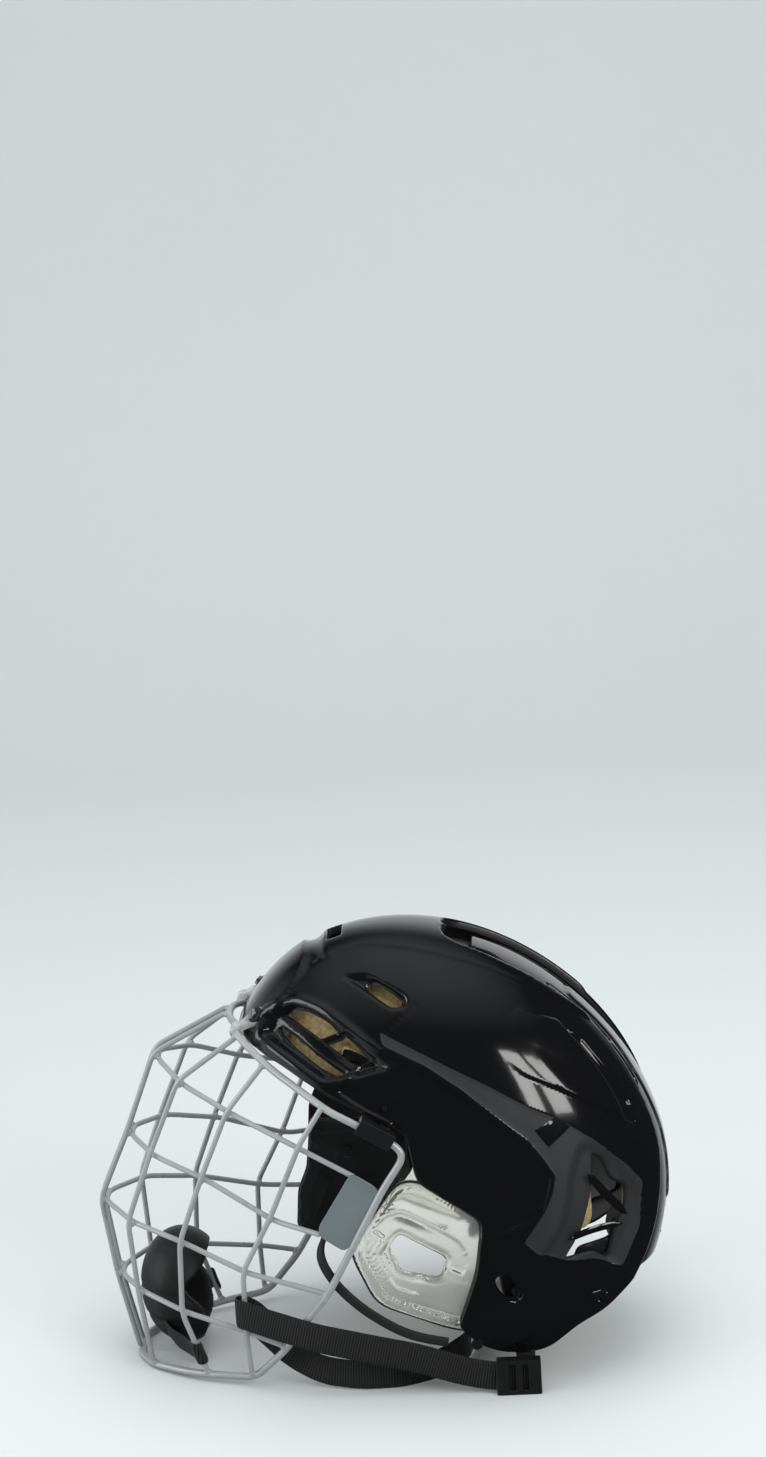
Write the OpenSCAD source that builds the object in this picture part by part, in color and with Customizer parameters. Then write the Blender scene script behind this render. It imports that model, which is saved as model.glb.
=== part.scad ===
// Full-size ice-hockey helmet with wire face cage.
// +Z up, the face looks along -Y, the wearer's left is +X, standing on its cage and buckles.

/* [Shell] */
// Half width of the shell at its widest
shell_half_w = 108; // [95:1:120]
// Shell centre to the forehead, along the shell's own axis
shell_front = 133.5; // [115:0.5:150]
// Shell centre to the back, along the shell's own axis
shell_back = 158.8; // [140:0.1:175]
// Shell centre to the crown
shell_up = 183.2; // [165:0.1:200]
// Half height of the curve that carries the sides down
shell_down = 150; // [130:1:200]
// Shell wall thickness
shell_t = 3.6; // [2.5:0.1:5]
// How far the shell is pitched back as it stands
shell_pitch = 17.5; // [0:0.5:30]
// Squareness of the shell seen from above
plan_power = 2.46; // [2:0.02:3]
// Squareness of the shell's rise
rise_power = 1.91; // [1.6:0.01:2.6]

/* [Cage] */
// Diameter of the cage's frame wire
frame_d = 4.6; // [3.5:0.1:6]
// Diameter of the cage's bars
bar_d = 3.4; // [2.5:0.1:4.5]
// Height of the flip axis
hinge_z = 226; // [215:1:240]
// Flip axis ahead of the shell's middle
hinge_y = -89; // [-105:1:-80]
// Half length of the straight wire on the flip axis
hinge_half = 38.5; // [38:0.5:42]
// Thickness of the sheet side plates
plate_t = 1.6; // [1:0.1:2.5]

/* [Fittings] */
// Radius of the bore in the top clips
clip_bore_r = 2.37; // [2.32:0.01:2.4]
// Width of the webbing
web_w = 19; // [15:0.5:25]
// Thickness of the webbing
web_t = 1.6; // [1:0.1:2.5]
// Radius of the size screw's shank
screw_r = 2; // [1.5:0.1:3]
// How far the front of each ear guard is swung in under the cage wire
guard_turn = 4.2; // [3:0.1:6]

/* [Hidden] */
cy = 27;
cz = 102;
cup = [0, -137.5, 44];
cup_tilt = 4;
home_y = 4.33;

// ---------- helpers ----------
function unit(v) = v / norm(v);
function dirv(th, ph) = [cos(ph) * cos(th), cos(ph) * sin(th), sin(ph)];

// Radius of the shell's base surface along direction v, taken in by d.
function srad(v, d) =
    let(a = shell_half_w - d,
        b = (v[1] < 0 ? shell_front : shell_back) - d,
        c = (v[2] > 0 ? shell_up : shell_down) - d,
        f = pow(pow(abs(v[0] / a), plan_power) + pow(abs(v[1] / b), plan_power),
            rise_power / plan_power))
    pow(f + pow(abs(v[2] / c), rise_power), -1 / rise_power);

// Closed skin over rows of points between a low and a high pole.
module skin(rows, low, high) {
    nt = len(rows[0]);
    np = len(rows) + 1;
    pts = concat([low], [for (r = rows) each r], [high]);
    n = len(pts) - 1;
    faces = concat(
        [for (i = [0 : nt - 1]) [0, 1 + i, 1 + (i + 1) % nt]],
        [for (j = [0 : np - 3]) for (i = [0 : nt - 1])
            let(a = 1 + j * nt + i, b = 1 + j * nt + (i + 1) % nt) each
            [[a, a + nt, b], [b, a + nt, b + nt]]],
        [for (i = [0 : nt - 1]) [n, 1 + (np - 2) * nt + (i + 1) % nt, 1 + (np - 2) * nt + i]]);
    polyhedron(pts, faces, convexity = 4);
}

// Closed base surface, taken in by d.
module ell(d, nt = 60, np = 30) {
    rows = [for (j = [1 : np - 1]) [for (i = [0 : nt - 1])
        let(v = dirv(i * 360 / nt, -90 + j * 180 / np)) v * srad(v, d)]];
    translate([0, cy, cz]) rotate([shell_pitch, 0, 0])
        skin(rows, dirv(0, -90) * srad([0, 0, -1], d), dirv(0, 90) * srad([0, 0, 1], d));
}

// Wall between two depths of the base surface.
module wall(d0, d1, nt = 60, np = 30) {
    difference() {
        ell(d0, nt, np);
        ell(d1, nt, np);
    }
}

// Side outline (y, z) pushed through along X from x0 to x1.
module side_cut(pts, x0, x1) {
    translate([x0, 0, 0]) rotate([90, 0, 90]) linear_extrude(x1 - x0) polygon(pts);
}

// Rear outline (x, z) pushed through along Y from y0 to y1.
module back_cut(pts, y0, y1) {
    translate([0, y1, 0]) rotate([90, 0, 0]) linear_extrude(y1 - y0) polygon(pts);
}

function both(half) = concat(half, [for (i = [len(half) - 1 : -1 : 0]) [-half[i][0], half[i][1]]]);

// Corner points of a path replaced by short curves.
function bend(p, r = 6, k = 4) = [for (i = [0 : len(p) - 1])
    each (i == 0 || i == len(p) - 1) ? [p[i]] :
    let(u = p[i - 1] - p[i], v = p[i + 1] - p[i],
        a = p[i] + unit(u) * min(r, norm(u) * 0.45),
        b = p[i] + unit(v) * min(r, norm(v) * 0.45))
    [for (s = [0 : k]) let(t = s / k)
        a * (1 - t) * (1 - t) + p[i] * 2 * t * (1 - t) + b * t * t]];

function tang(p, i) = unit(p[min(i + 1, len(p) - 1)] - p[max(i - 1, 0)]);
function carry(p, i, n) =
    i >= len(p) ? [] :
    let(t = tang(p, i), m = unit(n - (n * t) * t)) concat([m], carry(p, i + 1, m));

// Round wire along a path; ref is any direction across its first stretch.
module wire(p, d, ref = [1, 0, 0], ns = 10) {
    fr = carry(p, 0, ref);
    n = len(p);
    pts = [for (i = [0 : n - 1]) let(t = tang(p, i), u = fr[i], v = cross(t, u))
        for (k = [0 : ns - 1]) p[i] + (u * cos(k * 360 / ns) + v * sin(k * 360 / ns)) * d / 2];
    faces = concat([[for (k = [ns - 1 : -1 : 0]) k]],
        [for (i = [0 : n - 2]) for (k = [0 : ns - 1])
            let(a = i * ns + k, b = i * ns + (k + 1) % ns) each
            [[a, b, b + ns], [a, b + ns, a + ns]]],
        [[for (k = [0 : ns - 1]) (n - 1) * ns + k]]);
    polyhedron(pts, [for (f = faces) [for (i = [len(f) - 1 : -1 : 0]) f[i]]]);
}

// Flat band along a path; up is the direction its width stands in.
module band(p, w, t, up = [0, 0, 1]) {
    n = len(p);
    pts = [for (i = [0 : n - 1]) let(d = tang(p, i), s = unit(cross(d, up)), u = cross(s, d))
        each [p[i] + s * t / 2 - u * w / 2, p[i] + s * t / 2 + u * w / 2,
            p[i] - s * t / 2 + u * w / 2, p[i] - s * t / 2 - u * w / 2]];
    faces = concat([[0, 1, 2, 3]],
        [for (i = [0 : n - 2]) for (k = [0 : 3])
            let(a = i * 4 + k, b = i * 4 + (k + 1) % 4) each [[a, a + 4, b], [b, a + 4, b + 4]]],
        [[for (k = [3 : -1 : 0]) (n - 1) * 4 + k]]);
    polyhedron(pts, faces);
}

module pair() {
    children();
    mirror([1, 0, 0]) children();
}

// ---------- outlines ----------
// Lower edge of the front shell, seen from the side.
edge = [[-140, 226], [-100, 224], [-86, 221], [-63, 214], [-27, 195], [-10, 188], [14, 177],
    [17, 160], [20, 146], [59, 119], [54, 85], [41, 47], [55, 31], [67, 24], [85, 20],
    [98, 22], [116, 36], [135, 44], [154, 60], [163, 72], [215, 85], [215, 330], [-140, 330]];
// Half outline of the opening between the two sides of the front shell, seen from behind.
gap_half = [[17, 310], [17, 284], [23, 277], [27, 268], [30, 258], [30, 240], [28, 222], [32, 200],
    [38, 170], [43, 147], [52, 119], [56, 100], [60, 78], [63, 60], [63, 0]];
ear_hole = [[8, 112], [36, 96], [31, 80], [7, 88], [1, 103]];
front_vent_up = [[-66, 240], [-48, 250], [-44, 249], [-2, 219], [-14, 214]];
front_vent_low = [[-69, 237], [-19, 210], [-31, 208], [-60, 230]];
crown_vent = [[-20, 262], [-3, 261], [18, 250], [16, 246], [4, 248], [-9, 255]];
rear_vent = [[131, 153], [135, 151], [143, 138], [154, 127], [140, 74], [113, 84], [123, 103]];

// ---------- shell ----------
module front_shell() {
    color([0.02, 0.02, 0.03]) difference() {
        intersection() {
            wall(0, shell_t);
            side_cut(edge, -130, 130);
        }
        back_cut(both(gap_half), 42, 250);
        pair() {
            side_cut(front_vent_up, 25, 130);
            side_cut(front_vent_low, 25, 130);
            side_cut(crown_vent, 30, 130);
            side_cut(rear_vent, 55, 130);
            size_slot(screw_r + 1.3, 13);
            top_screw_axis() cylinder(h = 40, r = 1.9, center = true, $fn = 24);
            translate([90, 3, 190]) rotate([0, 90, 0]) cylinder(h = 40, r = 1.7, center = true, $fn = 24);
        }
        translate([-11, -30, 255]) cube([22, 9, 60]);
        translate([-30, -72, 235]) rotate([-40, 0, 0]) cube([14, 4, 60]);
        translate([16, -72, 235]) rotate([-40, 0, 0]) cube([14, 4, 60]);
    }
}

// Slot for the size screw, running down and back.
module size_slot(r, l) {
    hull() {
        translate([80, 69, 79]) rotate([0, 90, 0]) cylinder(h = 50, r = r, $fn = 16);
        translate([80, 69 + 0.72 * l, 79 - 0.69 * l]) rotate([0, 90, 0]) cylinder(h = 50, r = r, $fn = 16);
    }
}

// Local frame of a top screw: Z' stands out of the shell.
module top_screw_axis() {
    translate([33, -74.4, 234]) rotate([48.5, 34.7, 0]) children();
}

module front_liner() {
    color([0.72, 0.6, 0.36]) difference() {
        intersection() {
            wall(4.2, 15, 48, 24);
            side_cut([[-140, 232], [-95, 230], [-60, 219], [-27, 202], [20, 190], [20, 330],
                [-140, 330]], -130, 130);
        }
        translate([-8, -27, 250]) cube([16, 4, 60]);
        pair() top_screw_axis() cylinder(h = 60, r = 7, center = true, $fn = 24);
        pair() translate([70, -7, 165]) cube([30, 19, 34.5]);
    }
}

module side_liner() {
    color([0.72, 0.6, 0.36]) intersection() {
        wall(12.5, 24, 48, 24);
        side_cut([[20, 186], [45, 196], [100, 184], [128, 160], [139, 140], [140, 108], [136, 100],
            [119, 100], [112, 104], [96, 110], [62, 128], [24, 152]], 63, 130);
    }
}

module ear_guard() {
    color([0.9, 0.88, 0.78, 0.5]) translate([98, 60, 0]) rotate([0, 0, -guard_turn])
        translate([-98, -60, 0]) difference() {
            intersection() {
                wall(4.4, 7, 60, 30);
                side_cut([[7, 143], [20, 145], [64, 122], [66, 112], [60, 60], [50, 42], [38, 44],
                    [-9, 64], [-23, 97], [-20, 106]], 60, 130);
            }
            side_cut(ear_hole, 60, 130);
        }
}

module ear_loop() {
    color([0.05, 0.05, 0.05]) band(bend([[81, -38, 108], [86, -44, 94], [90, -34, 76], [92, -18, 60],
        [92, 0, 47], [92, 14, 40], [91, 34, 35]], 8), 6, 3, [0.1, 0.5, 1]);
}

// Black inner temple panel that carries the rivets, inside the cage.
temple = [[-44, 182], [-30, 181], [-14, 181], [17.5, 178], [18, 146], [4, 128], [-14, 112], [-30, 104],
    [-36, 102], [-46, 106], [-56, 112], [-54, 136], [-48, 150], [-46, 166]];
module temple_panel() {
    color([0.05, 0.05, 0.05]) difference() {
        side_cut(temple, 77.5, 80.5);
        for (q = [[-22, 160], [-34, 146], [-40, 172]])
            translate([73, q[0], q[1]]) rotate([0, 90, 0]) cylinder(h = 12, r = 2.1, $fn = 24);
    }
}

module temple_rivets() {
    color([0.06, 0.06, 0.07]) pair() for (q = [[-22, 160], [-34, 146], [-40, 172]]) {
        translate([76, q[0], q[1]]) rotate([0, 90, 0]) cylinder(h = 5, r = 2, $fn = 24);
        translate([80.7, q[0], q[1]]) rotate([0, 90, 0]) cylinder(h = 1.4, r = 4, $fn = 24);
        translate([75.5, q[0], q[1]]) rotate([0, 90, 0]) cylinder(h = 1.8, r = 4, $fn = 24);
    }
}

// ---------- clips ----------
module top_clip() {
    color([0.75, 0.75, 0.72, 0.6]) difference() {
        union() {
            translate([28, hinge_y, hinge_z]) rotate([0, 90, 0]) cylinder(h = 10, r = 4.4, $fn = 32);
            hull() {
                top_screw_axis() translate([0, 0, 0.3]) cylinder(h = 2, r = 6, $fn = 24);
                translate([28.5, hinge_y + 1.5, hinge_z + 1]) cube([9, 2.6, 3]);
            }
        }
        translate([20, hinge_y, hinge_z]) rotate([0, 90, 0]) cylinder(h = 22, r = clip_bore_r, $fn = 32);
        top_screw_axis() cylinder(h = 40, r = 1.9, center = true, $fn = 16);
        top_screw_axis() translate([0, 0, 2.3]) cylinder(h = 12, r = 5.8, $fn = 32);
    }
}

module top_washers() {
    color([0.03, 0.03, 0.03]) pair() top_screw_axis() translate([0, 0, 2.4]) difference() {
        cylinder(h = 1.8, r = 5.4, $fn = 32);
        translate([0, 0, -1]) cylinder(h = 4, r = 1.9, $fn = 32);
    }
}

module top_screws() {
    color([0.6, 0.6, 0.62]) pair() top_screw_axis() {
        translate([0, 0, -6]) cylinder(h = 11, r = 1.7, $fn = 32);
        translate([0, 0, 4.3]) difference() {
            cylinder(h = 2, r = 3.4, $fn = 32);
            translate([-3, -0.5, 1.2]) cube([6, 1, 2]);
        }
        translate([0, 0, -6.4]) cylinder(h = 2, r = 4.2, $fn = 6);
    }
}

// Local frame of the side clip: Y' along the wire, Z' away from the wire's way out.
module at_side_clip() {
    translate([95, -4, 175]) rotate([-31.4, 0, 0]) children();
}

module side_clip() {
    color([0.04, 0.04, 0.05]) difference() {
        union() {
            at_side_clip() translate([-6, -12, -4.4]) cube([10.5, 24, 10.4]);
            translate([82.6, -4, 176]) cube([2.4, 13, 21]);
            translate([82.6, -4, 172]) cube([8, 10, 8]);
        }
        at_side_clip() translate([0, 20, 0]) rotate([90, 0, 0]) linear_extrude(40) union() {
            circle(r = 2.6, $fn = 32);
            translate([-2.6, -10]) square([5.2, 10]);
        }
        translate([78, 3, 190]) rotate([0, 90, 0]) cylinder(h = 30, r = 1.8, $fn = 24);
    }
}

module side_clip_screws() {
    color([0.08, 0.08, 0.09]) pair() translate([0, 3, 190]) rotate([0, 90, 0]) {
        translate([0, 0, 82]) cylinder(h = 9.6, r = 1.6, $fn = 24);
        translate([0, 0, 80.6]) cylinder(h = 1.8, r = 4, $fn = 24);
    }
}

// ---------- straps ----------
module buckle() {
    color([0.03, 0.03, 0.03]) difference() {
        translate([89.5, 63, 0]) cube([7, 28, 23]);
        translate([91.9, 50, 1.6]) cube([2.2, 50, 19.8]);
        translate([94, 71, 3]) cube([6, 4, 17]);
        translate([94, 79, 3]) cube([6, 4, 17]);
    }
}

module anchor_web() {
    color([0.03, 0.03, 0.03]) translate([0, 88, 0]) rotate([90, 0, 0]) linear_extrude(12)
        polygon([[89.3, 8], [89.3, 14.6], [81.2, 19.2], [80.9, 23.6], [83, 31], [85.4, 38],
            [84, 38.4], [81.6, 31.4], [79.4, 24], [79.8, 18.2], [87.9, 13.4], [87.9, 8]]);
}

module anchor_snaps() {
    color([0.1, 0.1, 0.1]) pair() translate([87, 52, 34])
        rotate([0, 90, 0]) cylinder(h = 7, r = 3.6, $fn = 24);
}

strap_path = [[93, 86, 11.5], [93, 66, 11.5], [92.5, 50, 14], [92, 36, 18], [92, 14, 26], [92, -10, 32],
    [91, -46, 41], [87, -62, 45], [83, -80, 50], [79.5, -91, 53], [77, -97, 54], [73.5, -98.5, 54],
    [69.5, -96.5, 53.5], [67, -90, 50], [66, -80, 38], [69, -64, 21], [75, -46, 12.5], [80, -22, 10.4],
    [79, 4, 10.2], [68, 27, 10.2], [42, 46, 10.4], [0, 54, 10.8], [-50, 58, 11.2], [-80, 62, 11.5],
    [-93, 71, 11.5], [-93, 86, 11.5]];
module chin_strap() {
    color([0.02, 0.02, 0.02]) band(bend(strap_path, 5, 3), web_w, web_t);
}

// ---------- rear shell ----------
rear_half = [[0, 310], [13, 310], [13, 266], [20, 262], [24, 250], [24, 226], [25, 212], [38, 196],
    [46, 180], [50, 165],
    [55, 145], [62, 119], [66, 100], [68, 80], [68, 62], [0, 62]];
module rear_shell() {
    color([0.02, 0.02, 0.03]) difference() {
        union() {
            intersection() {
                wall(4.6, 7.6);
                back_cut(both(rear_half), 62, 250);
            }
            intersection() {
                wall(9.6, 12.4, 24, 12);
                back_cut([[-12, 320], [12, 320], [12, 240], [-12, 240]], 34, 66);
            }
            intersection() {
                wall(5.5, 12.4, 24, 12);
                back_cut([[-12, 320], [12, 320], [12, 240], [-12, 240]], 60, 66);
            }
            intersection() {
                wall(8.4, 11.4, 36, 18);
                pair() side_cut([[72, 78], [74, 60], [86, 48], [104, 44], [128, 52], [150, 64],
                    [160, 72], [160, 104], [149, 104], [149, 92], [126, 90], [122, 78], [112, 76],
                    [90, 82]], 40, 130);
            }
            intersection() {
                wall(4.6, 11.4, 24, 12);
                pair() translate([54, 100, 62]) cube([13, 100, 30]);
            }
        }
        size_screw_axis() cylinder(h = 240, r = screw_r + 0.08, center = true, $fn = 32);
        translate([-26, 130, 74]) cube([52, 60, 16]);
        pair() back_cut([[19, 192], [29, 186], [29, 176], [21, 179]], 100, 250);
        pair() back_cut([[14.5, 246], [18, 244], [19, 206], [15.5, 204]], 60, 250);
    }
}

module size_screw_axis() {
    translate([0, 78, 70.5]) rotate([0, 90, 0]) children();
}

module size_screw() {
    color([0.1, 0.1, 0.11]) translate([0, 78, 70.5]) rotate([0, 90, 0]) {
        translate([0, 0, 85]) cylinder(h = 13, r = screw_r, $fn = 32);
        translate([0, 0, 97]) difference() {
            cylinder(h = 2.6, r = screw_r + 0.9, $fn = 32);
            translate([-4, -0.5, 1.6]) cube([8, 1, 2]);
        }
        translate([0, 0, 83.8]) cylinder(h = 2, r = 4.2, $fn = 32);
    }
}

module rear_liner() {
    color([0.72, 0.6, 0.36]) intersection() {
        wall(13, 24, 48, 24);
        back_cut(both([[22, 300], [27, 262], [30, 240], [38, 212], [44, 190], [48, 170], [52, 145],
            [56, 119], [58, 98]]), 66.5, 250);
    }
}

module occipital_pad() {
    color([0.04, 0.04, 0.04]) intersection() {
        wall(12.6, 26, 48, 24);
        back_cut(both([[40, 72], [46, 66], [46, 50], [34, 40]]), 90, 250);
    }
}

module lock_track() {
    color([0.05, 0.05, 0.05]) difference() {
        translate([-25.4, 161, 74.6]) cube([50.8, 12, 14.8]);
        translate([-17, 166, 78]) cube([34, 12, 8]);
    }
}

module lock_slider() {
    color([0.1, 0.1, 0.1]) difference() {
        translate([-9, 166.2, 78.2]) cube([18, 8, 7.6]);
        for (i = [-1 : 1]) translate([i * 4 - 0.6, 173, 70]) cube([1.2, 5, 20]);
    }
}

// ---------- cage ----------
frame_half = [[-0.1, hinge_y - 7, hinge_z + 2], [14, hinge_y - 5.5, hinge_z + 1.6], [24.5, hinge_y, hinge_z],
    [27.6, hinge_y, hinge_z], [hinge_half, hinge_y, hinge_z], [hinge_half + 3, hinge_y, hinge_z],
    [50, -79, 217], [60, -66, 207],
    [88, -32, 189], [95, -18, 183.5], [95, 9, 167], [96.5, 13, 160], [98, -1, 140], [98, -21, 104],
    [94, -39, 71], [86, -52, 53], [77, -68, 29], [68, -89, 7], [58, -118, 5.4], [48, -137, 4.2],
    [33, -157, 3], [16, -167, 2.4], [-0.1, -169.5, 2.3]];
module cage_frame() {
    color([0.6, 0.61, 0.63]) pair() wire(bend(frame_half, 7, 4), frame_d, [0, 0, 1], 12);
}

// Upright bars, top to bottom, each with its bends.
v0 = [[6.5, hinge_y - 10.4, hinge_z + 2.4], [6.8, -146, 205], [7, -167, 152], [7, -187, 108], [7, -180, 56],
    [7, -169.2, 6]];
v1 = [[40.5, hinge_y - 2, hinge_z - 3.4], [41, -128, 197], [41, -149, 149], [43, -166, 105], [41, -163, 56],
    [34, -158, 6.6]];
v2 = [[56, -74, 208], [58, -97, 181], [59, -116, 138], [61, -132, 97], [59, -134, 48], [58, -121, 9]];
v3 = [[88, -36, 191], [88, -51, 168], [80, -72, 119], [77, -92, 82], [73, -93, 38], [69.5, -91.5, 10.4]];
module uprights(p) {
    pair() wire(bend(p, 6, 4), bar_d, [1, 0, 0], 10);
}
module center_bars() {
    color([0.6, 0.61, 0.63]) uprights(v0);
}
module inner_bars() {
    color([0.6, 0.61, 0.63]) uprights(v1);
}
module middle_bars() {
    color([0.6, 0.61, 0.63]) uprights(v2);
}
module outer_bars() {
    color([0.6, 0.61, 0.63]) uprights(v3);
}

// Cross bars, from the middle out to one side, lying just inside the uprights.
h1 = [[-0.1, -143.5, 202], [10, -142.5, 201.5], [39, -125.5, 194], [56, -94.5, 179], [83, -50, 163],
    [95.2, -19, 149]];
h2 = [[-0.1, -164, 151], [10, -163, 151], [38.5, -146.5, 147], [57, -113, 136.5], [78, -70.5, 115.5],
    [95.2, -42, 112]];
h3 = [[-0.1, -183.6, 107], [10, -182.5, 107], [40.5, -163, 104], [58.5, -129.5, 95.5], [75.5, -89.5, 80.5],
    [92, -41, 71.5]];
h4 = [[-0.1, -176.8, 56], [10, -175.5, 56], [38.5, -160.5, 56], [56.5, -132, 48], [71, -91, 38.5],
    [77.6, -71, 32]];
module crossbar(p) {
    pair() wire(bend(p, 7, 3), bar_d, [0, 0, 1], 10);
}
module brow_bar() {
    color([0.6, 0.61, 0.63]) crossbar(h1);
}
module eye_bar() {
    color([0.6, 0.61, 0.63]) crossbar(h2);
}
module nose_bar() {
    color([0.6, 0.61, 0.63]) crossbar(h3);
}
module jaw_bar() {
    color([0.6, 0.61, 0.63]) crossbar(h4);
}

module side_plate() {
    color([0.5, 0.52, 0.54]) side_cut([[-21, 150], [-18, 151], [-5, 142], [-3, 137], [-23, 104],
        [-27, 101], [-41, 111], [-42, 117]], 96.4, 96.4 + plate_t);
}

// ---------- chin cup ----------
module cup_solid(k) {
    size = [36 - k, 28.5 - k, 38 - k];
    rows = [for (j = [1 : 17]) [for (i = [0 : 31])
        let(v = dirv(i * 11.25, -90 + j * 10)) [v[0] * size[0], v[1] * size[1], v[2] * size[2]]]];
    translate(cup) rotate([cup_tilt, 0, 0]) skin(rows, [0, 0, -size[2]], [0, 0, size[2]]);
}
module cup_keep() {
    side_cut([[-175, 2], [-129, 2], [-121, 22], [-124, 40], [-136, 54], [-122, 66], [-110, 90], [-175, 92]],
        -60, 60);
}
module chin_cup() {
    color([0.03, 0.03, 0.03]) intersection() {
        difference() {
            cup_solid(0);
            cup_solid(3);
        }
        cup_keep();
    }
}
module chin_cup_liner() {
    color([0.08, 0.08, 0.08]) intersection() {
        difference() {
            cup_solid(3.3);
            cup_solid(9);
        }
        cup_keep();
    }
}
module cup_hooks() {
    path = [[27, -148, 25], [38, -142, 22.5], [50, -132, 21.5], [56.5, -128.4, 21.3],
        [60.2, -127.8, 21.2], [61.6, -125, 21], [60.2, -122.2, 21], [57, -122.2, 21]];
    color([0.03, 0.03, 0.03]) pair() band(bend(path, 3, 3), 14, 1.6, [0, -0.32, 1]);
}

// Slides the whole helmet so that the middle of its box is over the origin.
module home() {
    translate([0, home_y, 0]) children();
}

home() front_shell();
home() front_liner();
home() side_liner();  // side_liner_l
home() mirror([1, 0, 0]) side_liner();  // side_liner_r
home() ear_guard();  // ear_guard_l
home() mirror([1, 0, 0]) ear_guard();  // ear_guard_r
home() ear_loop();  // ear_loop_l
home() mirror([1, 0, 0]) ear_loop();  // ear_loop_r
home() temple_panel();  // temple_panel_l
home() mirror([1, 0, 0]) temple_panel();  // temple_panel_r
home() temple_rivets();
home() top_clip();  // top_clip_l
home() mirror([1, 0, 0]) top_clip();  // top_clip_r
home() top_screws();
home() top_washers();
home() side_clip();  // side_clip_l
home() mirror([1, 0, 0]) side_clip();  // side_clip_r
home() side_clip_screws();
home() buckle();  // buckle_l
home() mirror([1, 0, 0]) buckle();  // buckle_r
home() anchor_web();  // anchor_web_l
home() mirror([1, 0, 0]) anchor_web();  // anchor_web_r
home() anchor_snaps();
home() chin_strap();
home() rear_shell();
home() rear_liner();
home() occipital_pad();
home() lock_track();
home() lock_slider();
home() size_screw();  // size_screw_l
home() mirror([1, 0, 0]) size_screw();  // size_screw_r
home() cage_frame();
home() center_bars();
home() inner_bars();
home() middle_bars();
home() outer_bars();
home() brow_bar();
home() eye_bar();
home() nose_bar();
home() jaw_bar();
home() side_plate();  // side_plate_l
home() mirror([1, 0, 0]) side_plate();  // side_plate_r
home() chin_cup();
home() chin_cup_liner();
home() cup_hooks();
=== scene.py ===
"""Looks of an ice hockey helmet with a wire face cage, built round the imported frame."""

import math

import bmesh
import bpy
import numpy as np
from mathutils import Matrix, Vector


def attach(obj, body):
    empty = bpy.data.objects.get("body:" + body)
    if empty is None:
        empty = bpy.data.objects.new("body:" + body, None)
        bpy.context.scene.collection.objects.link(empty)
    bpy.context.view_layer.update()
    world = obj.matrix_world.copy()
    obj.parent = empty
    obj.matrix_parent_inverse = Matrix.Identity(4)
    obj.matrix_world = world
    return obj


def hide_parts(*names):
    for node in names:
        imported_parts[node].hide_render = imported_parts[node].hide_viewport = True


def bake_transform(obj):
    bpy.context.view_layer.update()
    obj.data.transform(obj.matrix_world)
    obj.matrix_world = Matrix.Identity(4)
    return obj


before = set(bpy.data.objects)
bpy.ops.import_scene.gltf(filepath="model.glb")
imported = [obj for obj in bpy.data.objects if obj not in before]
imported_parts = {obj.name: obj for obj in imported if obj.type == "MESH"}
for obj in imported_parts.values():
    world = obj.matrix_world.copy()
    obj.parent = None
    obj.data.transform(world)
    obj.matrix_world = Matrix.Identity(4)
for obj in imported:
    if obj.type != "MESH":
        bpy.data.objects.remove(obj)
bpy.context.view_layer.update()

MM = 0.001
SIDES = (("l", False), ("r", True))  # each side's letter, and whether it is mirrored
HOME = np.array([0.0, 4.33, 0.0])  # the helmet's own origin in the row frame, mm

# ---------- the shell's base surface, in mm ----------
HALF_W, FRONT, BACK, UP, DOWN = 108.0, 133.5, 158.8, 183.2, 150.0
PLAN, RISE = 2.46, 1.91
PITCH = math.radians(17.5)
MIDDLE = np.array([0.0, 27.0, 102.0])
TURN = np.array([[1, 0, 0], [0, math.cos(PITCH), -math.sin(PITCH)], [0, math.sin(PITCH), math.cos(PITCH)]])
SHELL_T = 3.6
FAR = 14.0  # distances to an outline are not followed further than this
SIDE_FROM = 30.0  # side outlines count only this far from the middle


def axes_of(q, inset):
    """Half axes of the surface on the side where each local point lies."""
    a = np.full(len(q), HALF_W - inset)
    b = np.where(q[:, 1] < 0, FRONT, BACK) - inset
    c = np.where(q[:, 2] > 0, UP, DOWN) - inset
    return a, b, c


def surface(v, inset=0.0):
    """Points of the base surface, taken in by inset, along directions v."""
    a, b, c = axes_of(v, inset)
    plan = (np.abs(v[:, 0] / a) ** PLAN + np.abs(v[:, 1] / b) ** PLAN) ** (RISE / PLAN)
    reach = (plan + np.abs(v[:, 2] / c) ** RISE) ** (-1 / RISE)
    return MIDDLE + (v * reach[:, None]) @ TURN.T


def outward(p):
    """Outward unit normals of the base surface near points p."""
    q = (p - MIDDLE) @ TURN
    a, b, c = axes_of(q, 0.0)
    plan = np.maximum(np.abs(q[:, 0] / a) ** PLAN + np.abs(q[:, 1] / b) ** PLAN, 1e-6)
    k = plan ** (RISE / PLAN - 1)
    g = np.stack([
        k * np.abs(q[:, 0] / a) ** (PLAN - 1) / a * np.sign(q[:, 0]),
        k * np.abs(q[:, 1] / b) ** (PLAN - 1) / b * np.sign(q[:, 1]),
        np.abs(q[:, 2] / c) ** (RISE - 1) / c * np.sign(q[:, 2])], 1)
    g /= np.linalg.norm(g, axis=1)[:, None]
    return g @ TURN.T


def side_x(y, z, inset):
    """Half width of the surface at (y, z)."""
    dy, dz = y - MIDDLE[1], z - MIDDLE[2]
    q = np.stack([np.zeros_like(y), dy * TURN[1, 1] + dz * TURN[2, 1], dy * TURN[1, 2] + dz * TURN[2, 2]], 1)
    a, b, c = axes_of(q, inset)
    s = np.clip(1 - np.abs(q[:, 2] / c) ** RISE, 0, None) ** (PLAN / RISE)
    return a * np.clip(s - np.abs(q[:, 1] / b) ** PLAN, 0, None) ** (1 / PLAN)


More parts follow.
